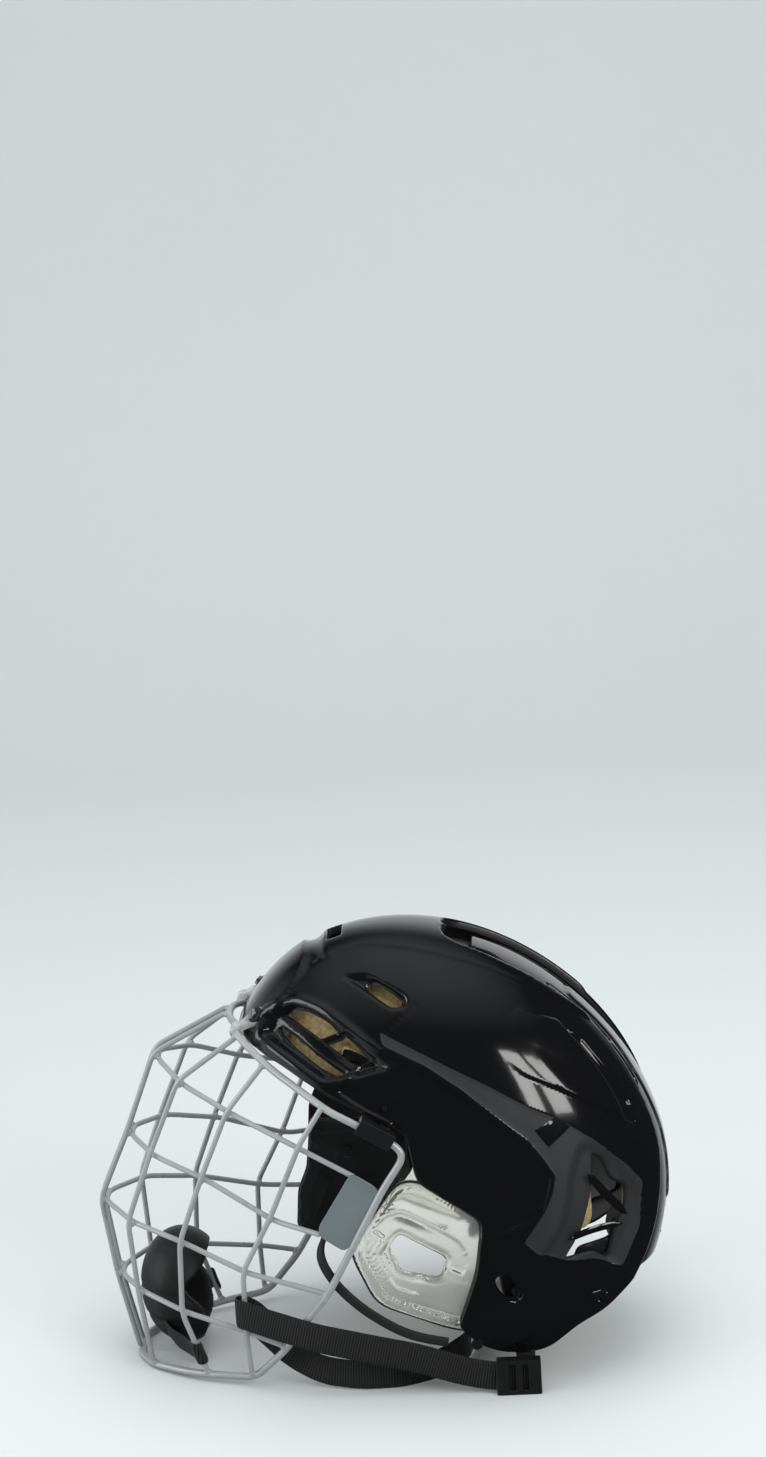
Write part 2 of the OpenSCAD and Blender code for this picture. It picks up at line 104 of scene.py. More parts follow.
# ---------- outlines ----------
def corner(before, at, after, r, steps):
    """Points of the curve that rounds one corner, never past half of either side."""
    u, w = before - at, after - at
    lu, lw = np.linalg.norm(u), np.linalg.norm(w)
    a, b = at + u / lu * min(r, lu * 0.48), at + w / lw * min(r, lw * 0.48)
    return [a * (1 - t) ** 2 + at * 2 * t * (1 - t) + b * t * t for t in np.linspace(0, 1, steps)]


def rounded(points, r):
    """A closed outline with its corners rounded."""
    p = np.array(points, float)
    n = len(p)
    return np.concatenate([corner(p[i - 1], p[i], p[(i + 1) % n], r, 5) for i in range(n)])


def inside(p, outline, reach=FAR):
    """Distance of 2D points into an outline, negative outside, and the direction it grows in."""
    lo, hi = outline.min(0) - reach, outline.max(0) + reach
    d = np.full(len(p), -reach)
    g = np.zeros((len(p), 2))
    near = np.nonzero(((p > lo) & (p < hi)).all(1))[0]
    if not len(near):
        return d, g
    q = p[near]
    best = np.full(len(q), 1e18)
    foot = np.zeros((len(q), 2))
    odd = np.zeros(len(q), bool)
    for i in range(len(outline)):
        a, b = outline[i - 1], outline[i]
        e = b - a
        t = np.clip(((q - a) @ e) / max(e @ e, 1e-12), 0, 1)
        f = a + t[:, None] * e
        m = ((q - f) ** 2).sum(1)
        closer = m < best
        best[closer] = m[closer]
        foot[closer] = f[closer]
        cross = (a[1] > q[:, 1]) != (b[1] > q[:, 1])
        at = a[0] + (q[:, 1] - a[1]) / (e[1] if abs(e[1]) > 1e-12 else 1e-12) * e[0]
        odd ^= cross & (q[:, 0] < at)
    dist = np.sqrt(best)
    sign = np.where(odd, 1.0, -1.0)
    d[near] = dist * sign
    g[near] = (q - foot) / np.maximum(dist, 1e-9)[:, None] * sign[:, None]
    return d, g


def over_surface(p, n, outline, plane):
    """Distance into an outline drawn on the side (yz), back (xz) or top (xy), measured along the surface."""
    ij = {"yz": (1, 2), "xz": (0, 2), "xy": (0, 1)}[plane]
    q = np.stack([np.abs(p[:, ij[0]]) if ij[0] == 0 else p[:, ij[0]], p[:, ij[1]]], 1)
    d, g = inside(q, outline)
    g3 = np.zeros((len(p), 3))
    g3[:, ij[0]] = g[:, 0] * (np.sign(p[:, 0]) if ij[0] == 0 else 1)
    g3[:, ij[1]] = g[:, 1]
    flat = np.sqrt(np.clip(1 - (g3 * n).sum(1) ** 2, 0.04, 1))
    return d / flat


def patch(points, r):
    """An outline drawn on the left side of the shell from points in space, mirrored to the right.
    Gives a function of points and normals: the distance into it, along the surface."""
    pts = np.array(points, float)
    c = pts.mean(0)
    n0 = outward(c[None])[0]
    u = np.cross([0, 0, 1.0], n0)
    u /= np.linalg.norm(u)
    basis = np.stack([u, np.cross(n0, u)])
    outline = rounded((pts - c) @ basis.T, r)
    size = np.linalg.norm(outline, axis=1).max() + 15

    def field(p, n, reach=FAR):
        flip = np.where(p[:, 0] < 0, -1.0, 1.0)
        q = p - c
        q[:, 0] = p[:, 0] * flip - c[0]
        m = n.copy()
        m[:, 0] *= flip
        d = np.full(len(p), -reach)
        near = np.nonzero((np.linalg.norm(q, axis=1) < size) & (m @ n0 > 0.3))[0]
        if len(near):
            dist, g = inside(q[near] @ basis.T, outline, reach)
            g3 = g @ basis
            d[near] = dist / np.sqrt(np.clip(1 - (g3 * m[near]).sum(1) ** 2, 0.04, 1))
        return d
    return field


def drawn(outline, plane):
    """The distance into an outline, as a function of directions."""
    def field(v):
        p = surface(v)
        return over_surface(p, outward(p), outline, plane)
    return field


def bell(x, width):
    """A smooth ridge: 1 at x = 0, fading over width."""
    return np.exp(-(x / width) ** 2)


def ease(t):
    t = np.clip(t, 0, 1)
    return t * t * (3 - 2 * t)


def line_distance(p, a, b):
    a, b = np.array(a, float), np.array(b, float)
    t = np.clip(((p - a) @ (b - a)) / ((b - a) @ (b - a)), 0, 1)
    return np.linalg.norm(p - a - t[:, None] * (b - a), axis=1)


# ---------- grids and cutting ----------
def sphere_grid(n):
    """Directions and triangles of a cube blown up to a ball, n squares to an edge."""
    t = np.tan(np.linspace(-math.pi / 4, math.pi / 4, n + 1))
    u, w = np.meshgrid(t, t, indexing="ij")
    pts, tris = [], []
    i, j = np.meshgrid(np.arange(n), np.arange(n), indexing="ij")
    a = (i * (n + 1) + j).ravel()
    for k in range(3):
        for s in (-1, 1):
            v = np.zeros(((n + 1) ** 2, 3))
            v[:, k] = s
            v[:, (k + 1) % 3] = u.ravel()
            v[:, (k + 2) % 3] = w.ravel()
            base = a + (2 * k + (s > 0)) * (n + 1) ** 2
            quad = [base, base + n + 1, base + n + 2, base + 1]
            if s < 0:
                quad.reverse()
            tris += [np.stack([quad[0], quad[1], quad[2]], 1), np.stack([quad[0], quad[2], quad[3]], 1)]
            pts.append(v / np.linalg.norm(v, axis=1)[:, None])
    pts, tris = np.concatenate(pts), np.concatenate(tris)
    _, first, inv = np.unique(np.round(pts, 6), axis=0, return_index=True, return_inverse=True)
    return pts[first], inv.ravel()[tris]


def plane_grid(lo, hi, step):
    """A flat grid in (y, z) as points (0, y, z), facing +X."""
    ys = np.arange(lo[0], hi[0] + step, step)
    zs = np.arange(lo[1], hi[1] + step, step)
    y, z = np.meshgrid(ys, zs, indexing="ij")
    pts = np.stack([np.zeros(y.size), y.ravel(), z.ravel()], 1)
    i, j = np.meshgrid(np.arange(len(ys) - 1), np.arange(len(zs) - 1), indexing="ij")
    a = (i * len(zs) + j).ravel()
    b, c, d = a + len(zs), a + len(zs) + 1, a + 1
    return pts, np.concatenate([np.stack([a, b, c], 1), np.stack([a, c, d], 1)])


def tidy(v, tris):
    used, inv = np.unique(tris, return_inverse=True)
    return v[used], inv.reshape(tris.shape)


def split(v, tris, field, drop=False):
    """Cuts the triangles along field = 0. With drop, what is negative goes."""
    v = v.copy()
    k = field(v)
    e = np.sort(np.concatenate([tris[:, [0, 1]], tris[:, [1, 2]], tris[:, [2, 0]]]), axis=1)
    e = np.unique(e, axis=0)
    e = e[k[e[:, 0]] * k[e[:, 1]] < 0]
    t = k[e[:, 0]] / (k[e[:, 0]] - k[e[:, 1]])
    old = v.copy()
    for end, close in ((0, t < 0.2), (1, t > 0.8)):
        at = old[e[close, 0]] + (old[e[close, 1]] - old[e[close, 0]]) * t[close][:, None]
        v[e[close, end]] = at
        k[e[close, end]] = 0
    live = k[e[:, 0]] * k[e[:, 1]] < 0
    e, t = e[live], t[live]
    fresh = v[e[:, 0]] + (v[e[:, 1]] - v[e[:, 0]]) * t[:, None]
    number = {(int(a), int(b)): len(v) + i for i, (a, b) in enumerate(e)}
    v = np.concatenate([v, fresh])
    k = np.concatenate([k, np.zeros(len(fresh))])
    s = np.sign(k[tris])
    mixed = (s.min(1) < 0) & (s.max(1) > 0)
    out = [tris[~mixed]]
    extra = []
    for tri in tris[mixed]:
        sign = [float(np.sign(k[x])) for x in tri]
        if 0.0 in sign:
            o = sign.index(0.0)
            a, b, c = (int(tri[(o + m) % 3]) for m in range(3))
            m = number[(min(b, c), max(b, c))]
            extra += [(a, b, m), (a, m, c)]
        else:
            total = sum(1 if x > 0 else -1 for x in sign)
            o = [x for x in range(3) if (sign[x] > 0) == (total < 0)][0]
            a, b, c = (int(tri[(o + m) % 3]) for m in range(3))
            ab, ac = number[(min(a, b), max(a, b))], number[(min(a, c), max(a, c))]
            extra += [(a, ab, ac), (ab, b, c), (ab, c, ac)]
    if extra:
        out.append(np.array(extra, int))
    tris = np.concatenate(out)
    if drop:
        tris = tris[k[tris].sum(1) > 0]
    return tidy(v, tris)


def borders(tris):
    """The directed edges that only one triangle has."""
    e = np.concatenate([tris[:, [0, 1]], tris[:, [1, 2]], tris[:, [2, 0]]])
    have = {(int(a), int(b)) for a, b in e}
    return [(a, b) for a, b in have if (b, a) not in have]


# ---------- making objects ----------
def linked(name, data):
    obj = bpy.data.objects.new(name, data)
    bpy.context.scene.collection.objects.link(obj)
    return obj


def add_piece(name, points, faces, mats, face_mat=None, angle=40.0):
    """A mesh object from points in mm of the helmet's own frame."""
    mesh = bpy.data.meshes.new(name)
    mesh.from_pydata(((np.asarray(points) + HOME) * MM).tolist(), [], [list(map(int, f)) for f in faces])
    for m in mats:
        mesh.materials.append(m)
    mesh.polygons.foreach_set("use_smooth", [True] * len(mesh.polygons))
    if face_mat is not None:
        mesh.polygons.foreach_set("material_index", np.asarray(face_mat, np.int32))
    mesh.validate()
    mesh.update()
    mesh.set_sharp_from_angle(angle=math.radians(angle))
    return linked(name, mesh)


def place(obj, body, slot, *nodes):
    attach(obj, body)
    if nodes:
        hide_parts(*nodes)
    return obj


def piece(name, pts, faces, mat, angle, body, slot, *nodes):
    return place(add_piece(name, pts, faces, [mat], None, angle), body, slot, *nodes)


def mirrored(points):
    return np.asarray(points) * np.array([-1.0, 1.0, 1.0])


def walled(grid, keep, outer, inner, lines=(), coarse=None):
    """Outer skin, inner skin and rims of a wall. Returns points, faces and the number of outer triangles."""
    v, t = grid
    k = keep(v)
    v, t = tidy(v, t[(k[t] > -6).any(1)])
    v, t = split(v, t, keep, drop=True)
    for line in lines:
        v, t = split(v, t, line)
    pts = [outer(v), inner(v)]
    faces = [t]
    edge = borders(t)
    n = len(v)
    rim = [(b, a, a + n) for a, b in edge] + [(b, a + n, b + n) for a, b in edge]
    faces.append(np.array(rim, int))
    if coarse is None:
        faces.append(t[:, ::-1] + n)
    else:
        w, s = coarse
        k = keep(w)
        w, s = tidy(w, s[(k[s] > -14).any(1)])
        w, s = split(w, s, keep, drop=True)
        faces.append(s[:, ::-1] + 2 * n)
        pts.append(inner(w))
    return np.concatenate(pts), np.concatenate(faces), len(t)


# ---------- materials ----------
def new_material(name, base, rough, metal=0.0, **extra):
    mat = bpy.data.materials.new(name)
    mat.use_nodes = True
    bsdf = mat.node_tree.nodes["Principled BSDF"]
    bsdf.inputs["Base Color"].default_value = (*base, 1)
    bsdf.inputs["Roughness"].default_value = rough
    bsdf.inputs["Metallic"].default_value = metal
    for key, value in extra.items():
        bsdf.inputs[key.replace("_", " ")].default_value = value
    return mat, mat.node_tree, bsdf


def texture(tree, kind, scale, detail=3.0):
    at = tree.nodes.new("ShaderNodeTexCoord")
    node = tree.nodes.new("ShaderNodeTexVoronoi" if kind == "voronoi" else "ShaderNodeTexNoise")
    node.inputs["Scale"].default_value = scale
    if kind == "noise":
        node.inputs["Detail"].default_value = detail
    tree.links.new(at.outputs["Object"], node.inputs["Vector"])
    return node.outputs["Distance"] if kind == "voronoi" else node.outputs["Fac"]


def ranged(tree, value, low, high, start=0.3, end=0.7):
    node = tree.nodes.new("ShaderNodeMapRange")
    node.inputs["From Min"].default_value = start
    node.inputs["From Max"].default_value = end
    node.inputs["To Min"].default_value = low
    node.inputs["To Max"].default_value = high
    tree.links.new(value, node.inputs["Value"])
    return node.outputs["Result"]


def tinted(tree, bsdf, value, dark, light):
    """Base colour that runs from dark to light with value."""
    node = tree.nodes.new("ShaderNodeMix")
    node.data_type = "RGBA"
    node.inputs["A"].default_value = (*dark, 1)
    node.inputs["B"].default_value = (*light, 1)
    tree.links.new(value, node.inputs["Factor"])
    tree.links.new(node.outputs["Result"], bsdf.inputs["Base Color"])


def maths(tree, operation, *values):
    """A maths node. Each value is a number or another node's output."""
    node = tree.nodes.new("ShaderNodeMath")
    node.operation = operation
    for value, end in zip(values, node.inputs):
        if isinstance(value, (int, float)):
            end.default_value = value
        else:
            tree.links.new(value, end)
    return node.outputs[0]


def bumped(tree, bsdf, layers):
    """Bump from several (value, strength, depth in metres) layers."""
    last = None
    for value, strength, depth in layers:
        node = tree.nodes.new("ShaderNodeBump")
        node.inputs["Strength"].default_value = strength
        node.inputs["Distance"].default_value = depth
        tree.links.new(value, node.inputs["Height"])
        if last is not None:
            tree.links.new(last, node.inputs["Normal"])
        last = node.outputs["Normal"]
    tree.links.new(last, bsdf.inputs["Normal"])


def moulded(name, base, rough, spread, grain, depth, vary=0.25, **extra):
    """A moulded plastic or rubber: slow tint changes, uneven gloss and a fine grain."""
    mat, tree, bsdf = new_material(name, base, rough, **extra)
    slow = texture(tree, "noise", 22, 4)
    fine = texture(tree, "noise", grain, 2)
    dark, light = [c * (1 - vary) for c in base], [c * (1 + vary) for c in base]
    tinted(tree, bsdf, slow, dark, light)
    smear = texture(tree, "noise", 9, 6)
    tree.links.new(ranged(tree, smear, rough - spread, rough + spread), bsdf.inputs["Roughness"])
    bumped(tree, bsdf, [(slow, 0.15, 0.0002), (fine, 1.0, depth)])
    return mat


GLOSS = moulded("shell_gloss", (0.0055, 0.0056, 0.0062), 0.085, 0.03, 260, 0.000012, 0.2,
                Coat_Weight=0.35, Coat_Roughness=0.03)
MATTE = moulded("shell_matte", (0.028, 0.028, 0.031), 0.52, 0.05, 1900, 0.00016, 0.2)
INNER = moulded("shell_inside", (0.012, 0.012, 0.013), 0.45, 0.06, 600, 0.00005)
PLASTIC = moulded("plastic_black", (0.012, 0.012, 0.013), 0.33, 0.06, 900, 0.00004)
SHINY = moulded("rivet_black", (0.01, 0.01, 0.011), 0.14, 0.04, 500, 0.00002)
RUBBER = moulded("rubber_black", (0.017, 0.017, 0.018), 0.62, 0.08, 1200, 0.00007)
CUP = moulded("cup_black", (0.014, 0.014, 0.015), 0.48, 0.08, 700, 0.00022)
PAD = moulded("pad_black", (0.018, 0.018, 0.019), 0.85, 0.05, 1500, 0.0003, Sheen_Weight=0.3)


def foam(name, base):
    """Moulded bead foam: rounded beads a few millimetres across, with painted shade that darkens each bead
    towards the seams between beads.
    """
    mat, tree, bsdf = new_material(name, base, 0.75, Sheen_Weight=0.1)
    beads = texture(tree, "voronoi", 330)
    # painted shade: the colour darkens from each bead's middle to its seams, following the same bead heights
    # as the bump
    tinted(tree, bsdf, ranged(tree, beads, 0, 1, 0.1, 0.9), [c * 1.1 for c in base], [c * 0.62 for c in base])
    fine = texture(tree, "noise", 1200, 2)
    bumped(tree, bsdf, [(ranged(tree, beads, 1, 0, 0, 1), 0.7, 0.0008), (fine, 0.5, 0.0001)])
    return mat


TAN = foam("liner_tan", (0.5, 0.37, 0.17))


def clear(name, base, rough, through):
    mat, tree, bsdf = new_material(name, base, rough, Transmission_Weight=through, IOR=1.49)
    slow = texture(tree, "noise", 30, 4)
    tree.links.new(ranged(tree, slow, rough * 0.7, rough * 1.4), bsdf.inputs["Roughness"])
    tinted(tree, bsdf, ranged(tree, slow, 0, 1), [c * 0.94 for c in base], base)
    bumped(tree, bsdf, [(slow, 0.3, 0.0006)])
    return mat


GUARD = clear("guard_clear", (0.97, 0.955, 0.89), 0.07, 0.9)
CLIP = clear("clip_clear", (0.86, 0.87, 0.86), 0.12, 0.6)


def coated(name, base, rough, metal):
    mat, tree, bsdf = new_material(name, base, rough, metal)
    slow = texture(tree, "noise", 45, 4)
    fine = texture(tree, "noise", 1500, 2)
    tinted(tree, bsdf, slow, [c * 0.86 for c in base], [c * 1.1 for c in base])
    tree.links.new(ranged(tree, slow, rough - 0.07, rough + 0.07), bsdf.inputs["Roughness"])
    bumped(tree, bsdf, [(fine, 0.8, 0.00003)])
    return mat


SILVER = coated("cage_silver", (0.47, 0.485, 0.49), 0.33, 0.3)
PLATE = coated("plate_grey", (0.2, 0.235, 0.25), 0.42, 0.2)
STEEL = coated("screw_steel", (0.6, 0.6, 0.61), 0.26, 1.0)
BLACKED = coated("screw_black", (0.025, 0.025, 0.027), 0.3, 0.6)


def webbing_material():
    """Ribbed webbing, with painted shade in the rib troughs and a lighter colour on the rib crests. U runs
    along the strap in metres, V across it.
    """
    mat, tree, bsdf = new_material("webbing", (0.016, 0.016, 0.017), 0.62, Sheen_Weight=0.06,
                                  Sheen_Roughness=0.4)
    at = tree.nodes.new("ShaderNodeTexCoord")
    cut = tree.nodes.new("ShaderNodeSeparateXYZ")
    tree.links.new(at.outputs["UV"], cut.inputs["Vector"])

    def rib(axis, pitch, phase):
        turn = maths(tree, "MULTIPLY_ADD", cut.outputs[axis], 2 * math.pi / pitch, phase)
        return maths(tree, "SINE", turn)

    across, along = rib("X", 0.0017, 0.0), rib("Y", 0.0016, 0.6)
    mixed = maths(tree, "MULTIPLY_ADD", maths(tree, "MULTIPLY", across, along), 0.35, across)
    # painted shade: darker in the troughs and lighter on the crests of the same ribs that drive the bump
    painted_rib_shade = ranged(tree, mixed, 0, 1, -1.2, 1.2)
    tinted(tree, bsdf, painted_rib_shade, (0.002, 0.002, 0.0024), (0.026, 0.026, 0.028))
    fluff = texture(tree, "noise", 2500, 2)
    bumped(tree, bsdf, [(mixed, 0.9, 0.00025), (fluff, 0.4, 0.0001)])
    return mat


WEB = webbing_material()


# ---------- front shell ----------
EDGE = rounded([
    (-140, 226), (-100, 224), (-86, 221), (-63, 214), (-27, 195), (-10, 188), (14, 177), (17, 160),
    (20, 146), (59, 119), (54, 85), (41, 47), (55, 31), (67, 24), (85, 20), (98, 22), (116, 36),
    (135, 44), (154, 60), (163, 72), (215, 85), (215, 330), (-140, 330)], 6)
GAP = rounded([
    (-5, 310), (17, 310), (17, 284), (23, 277), (27, 268), (30, 258), (30, 240), (28, 222), (32, 200),
    (38, 170), (43, 147), (52, 119), (56, 100), (60, 78), (63, 60), (63, 0), (-5, 0)], 6)
VENT_BED = patch([
    (37, -70, 237), (45, -51, 247), (56, -36, 244), (72, -13, 229), (84, 7, 214), (82, -12, 208),
    (79, -34, 205), (66, -54, 217), (46, -73, 226)], 3)
VENT_UP = patch([
    (44, -59, 240), (46, -51, 245), (52, -42, 244), (61, -30, 239), (69, -18, 231), (79, -5, 219),
    (79, -14, 215), (67, -34, 228), (58, -46, 235)], 2)
VENT_LOW = patch([
    (47, -63, 234), (59, -52, 230), (69, -40, 222), (76, -29, 215), (81, -20, 210), (79, -27, 209),
    (74, -38, 214), (64, -52, 223), (51, -64, 231)], 2)
CROWN_HOLE = patch([
    (52, -7, 257), (49, -2, 261), (55, 9, 256), (61, 18, 250), (64, 15, 247), (63, 9, 247),
    (58, 1, 252)], 2.5)
CROWN_BED = patch([
    (42, -24, 262), (46, -4, 263), (60, 20, 252), (65, 20, 245), (65, 8, 245), (52, -9, 254)], 4)
REAR_VENT = patch([
    (84, 131, 153), (81, 138, 148), (81, 143, 134), (74, 153, 126), (76, 152, 113), (80, 146, 102),
    (81, 139, 79), (89, 129, 88), (96, 111, 86), (93, 122, 104), (90, 129, 126)], 3)
BASIN = patch([
    (97, 104, 112), (92, 112, 146), (86, 120, 163), (79, 134, 160), (72, 150, 140), (64, 160, 122),
    (66, 156, 98), (76, 144, 72), (91, 126, 71), (98, 108, 76), (104, 90, 90)], 8)
NOTCH = rounded([(-5, -30), (11, -30), (11, -21), (-5, -21)], 1.5)
SLOT = rounded([(65, 80), (70, 84.5), (75, 79), (81, 70), (80, 63.5), (73, 65), (67, 73)], 3)
SMALL_SLOTS = [rounded([
    (125, 56.5), (125, 59.6), (136, 59.6), (136, 56.5)], 1.5), rounded([
    (126, 51.5), (126, 54), (131, 54), (131, 51.5)], 1.2)]
PANEL = rounded([
    (-22, 236), (5, 221.5), (29, 211), (50, 197), (72, 179), (88, 165.5), (98, 152), (104, 142),
    (101.5, 133), (97, 119), (60, 108), (8, 130), (4, 160), (8, 180), (-12, 190), (-28, 200), (-12, 214)], 5)
STRIPE = rounded([
    (2, 233), (31, 219), (66, 201), (91, 186), (108, 177), (118, 170), (131, 160), (150, 141), (160, 127),
    (157, 98), (145, 74), (128, 83), (112, 85), (92, 95), (84, 104), (98, 122), (103, 133), (105.5, 143),
    (99, 154), (89, 168), (72, 182), (50, 200), (29, 214), (3, 226)], 2)
PATCH = rounded([(94, 172), (107, 178), (116, 171), (102, 161)], 1)
CRESCENT = rounded([
    (112, 229), (128, 214), (143, 194), (154, 176), (160.5, 157.5), (151, 166), (147, 178), (139.5, 192),
    (128, 210)], 1.5)
EYE = rounded([
    (60, 228), (89, 203), (109, 193), (133, 178), (152, 163.5), (158, 159), (151, 166), (147, 178),
    (139.5, 192), (128, 210), (112, 229), (88, 240)], 2)
CROWN = rounded([
    (-5, -33), (29, -33), (26.5, -20), (27, -6), (32, 12), (37, 34), (40, 60), (41, 90), (37, 112),
    (30, 134), (-5, 150)], 8)
FOREHEAD = rounded([(-5, -150), (45, -150), (45, -66), (31, -46), (25, -43.5), (-5, -43.5)], 6)
LOWER = rounded([
    (-60, 205), (-1, 204), (19, 192), (41, 179), (62, 169), (84, 155), (96, 150), (104, 142), (101, 133),
    (97, 124), (60, 110), (10, 120), (-60, 180)], 6)


def on_side(p, n, outline):
    """Distance into a side outline, only where the surface is well away from the middle."""
    d = over_surface(p, n, outline, "yz")
    return np.where(np.abs(p[:, 0]) > SIDE_FROM, d, -FAR)


def front_keep(v):
    p = surface(v)
    n = outward(p)
    k = over_surface(p, n, EDGE, "yz")
    gap = over_surface(p, n, GAP, "xz")
    corner = np.hypot(np.maximum(56 - p[:, 1], 0), np.maximum(14 - gap, 0)) - 14
    k = np.where(p[:, 1] > 35, np.minimum(k, corner), k)
    left = np.stack([np.abs(p[:, 0]), p[:, 1], p[:, 2]], 1)
    rib = 2.0 - line_distance(left, (65, -41, 226), (67, -22, 233))
    k = np.minimum(k, np.maximum(-VENT_UP(p, n), rib))
    for hole in (VENT_LOW, CROWN_HOLE, REAR_VENT):
        k = np.minimum(k, -hole(p, n))
    for outline in (SLOT, *SMALL_SLOTS):
        k = np.minimum(k, -on_side(p, n, outline))
    notch = np.where(p[:, 2] > 200, over_surface(p, n, NOTCH, "xy"), -FAR)
    return np.minimum(k, -notch)


def lip(k, r):
    """How far a rounded edge of radius r drops at distance k from it."""
    c = np.clip(r - k, 0, r)
    return r - np.sqrt(np.maximum(r * r - c * c, 0))


def front_relief(p, n):
    """Height of the front shell's moulded features over its base surface."""
    y, z, x = p[:, 1], p[:, 2], np.abs(p[:, 0])
    high = z > 150
    bed = VENT_BED(p, n)
    h = -5.0 * ease(bed / 4.5) + 1.2 * bell(bed + 2.6, 2.4)
    h += 1.2 * bell(line_distance(np.stack([x, y, z], 1), (44, -62, 237), (81, -17, 212)), 2.2) * (bed > 0)
    h -= 3.0 * ease(CROWN_BED(p, n) / 3) * ease((y + 27) / 20)
    slot = on_side(p, n, SLOT)
    h += 0.9 * bell(slot + 2.0, 1.2)
    h -= 1.7 * ease(on_side(p, n, PANEL) / 2.2)
    h -= 0.45 * ease(on_side(p, n, STRIPE) / 0.9) * ease((on_side(p, n, PATCH) < 0) * 1.0)
    h -= 1.8 * ease(on_side(p, n, CRESCENT) / 1.8)
    eye = on_side(p, n, EYE)
    h += 1.8 * ease(eye / 2.2) * ease((y - 78) / 45) * (1 - 0.75 * ease((eye - 2) / 22))
    h -= 4.2 * ease(BASIN(p, n) / 9)
    h -= 0.8 * ease(on_side(p, n, LOWER) / 5)
    crown = np.where(high, over_surface(p, n, CROWN, "xy"), -FAR)
    h += 1.5 * ease((crown + 2.2) / 4.4)
    block = np.where(high, over_surface(p, n, FOREHEAD, "xy"), -FAR)
    h += 1.9 * ease((block + 0.8) / 2.4)
    h -= 1.2 * bell(y + 38.5, 3.4) * ease((30 - x) / 8) * high
    h -= 0.35 * bell(line_distance(p[:, 1:], (0, 229), (24, 247)), 0.7) * (x > 40)
    for a, b in (((-1, 201), (19, 190)), ((19, 190), (41, 177)), ((41, 177), (62, 167))):
        h = np.maximum(h, h + 0.55 * bell(line_distance(p[:, 1:], a, b), 1.1) * (x > 60))
    for i in range(4):
        at = 73.5 + 3.4 * i
        h += 0.5 * bell(line_distance(p[:, 1:], (at, 116 - 1.2 * i), (at, 106 + 1.6 * i)), 0.8)
    return h


def front_outer(v):
    p = surface(v)
    n = outward(p)
    return p + n * (front_relief(p, n) - lip(front_keep(v), 1.5))[:, None]


def front_inner(v):
    p = surface(v)
    n = outward(p)
    return surface(v, SHELL_T) + n * np.minimum(0, front_relief(p, n) + 1.5)[:, None]


def side_line(outline, level=0.0):
    def field(v):
        p = surface(v)
        return on_side(p, outward(p), outline) - level
    return field


def front_shell():
    lines = [lambda v: front_keep(v) - 1.5, lambda v: front_keep(v) - 0.6]
    lines += [side_line(o) for o in (STRIPE, PANEL, CRESCENT, EYE, PATCH)]
    lines += [side_line(PANEL, level=2.2), side_line(CRESCENT, level=1.8), side_line(EYE, level=2.2)]
    lines += [lambda v, q=q: VENT_BED(surface(v), outward(surface(v))) - q for q in (0.0, 4.5)]
    pts, faces, count = walled(sphere_grid(138), front_keep, front_outer, front_inner, lines, sphere_grid(40))
    mid = pts[faces[:count]].mean(1)
    n = outward(mid)
    matte = (on_side(mid, n, STRIPE) > 0) & (on_side(mid, n, PATCH) < 0)
    mats = np.zeros(len(faces), int)
    mats[:count][matte] = 1
    mats[count:] = 2
    obj = add_piece("front_shell_skin", pts, faces, [GLOSS, MATTE, INNER], mats, 66)
    return place(obj, "helmet", "shell_gloss", "front_shell")


# ---------- rear shell ----------
REAR = rounded([
    (-5, 290), (13, 290), (13, 266), (20, 262), (24, 250), (24, 226), (25, 212), (38, 196), (46, 180),
    (50, 165), (55, 145), (62, 119), (66, 100), (68, 80), (68, 62), (-5, 62)], 4)
LOCK_WINDOW = rounded([(-5, 74), (26, 74), (26, 90), (-5, 90)], 3)
BACK_VENT = rounded([(19, 192), (29, 187), (29, 176), (21, 178)], 2)
BACK_SLOT = rounded([(14.5, 246), (18, 244), (19, 206), (15.5, 204)], 1.6)
BACK_PANEL = rounded([
    (-5, 236), (12, 236), (12.5, 200), (17, 184), (19, 150), (24, 110), (27, 96), (-5, 96)], 6)
CHANNEL = rounded([(18, 206), (31, 198), (30, 175), (20, 177)], 3)


def rear_keep(v):
    p = surface(v)
    n = outward(p)
    k = np.minimum(over_surface(p, n, REAR, "xz"), p[:, 1] - 62)
    for outline in (LOCK_WINDOW, BACK_VENT, BACK_SLOT):
        k = np.minimum(k, -over_surface(p, n, outline, "xz"))
    return k


def rear_outer(v):
    p = surface(v)
    n = outward(p)
    h = 1.2 * ease(over_surface(p, n, BACK_PANEL, "xz") / 2.5)
    h -= 1.6 * ease(over_surface(p, n, CHANNEL, "xz") / 2.0)
    return surface(v, 4.6) + n * (h - lip(rear_keep(v), 1.2))[:, None]


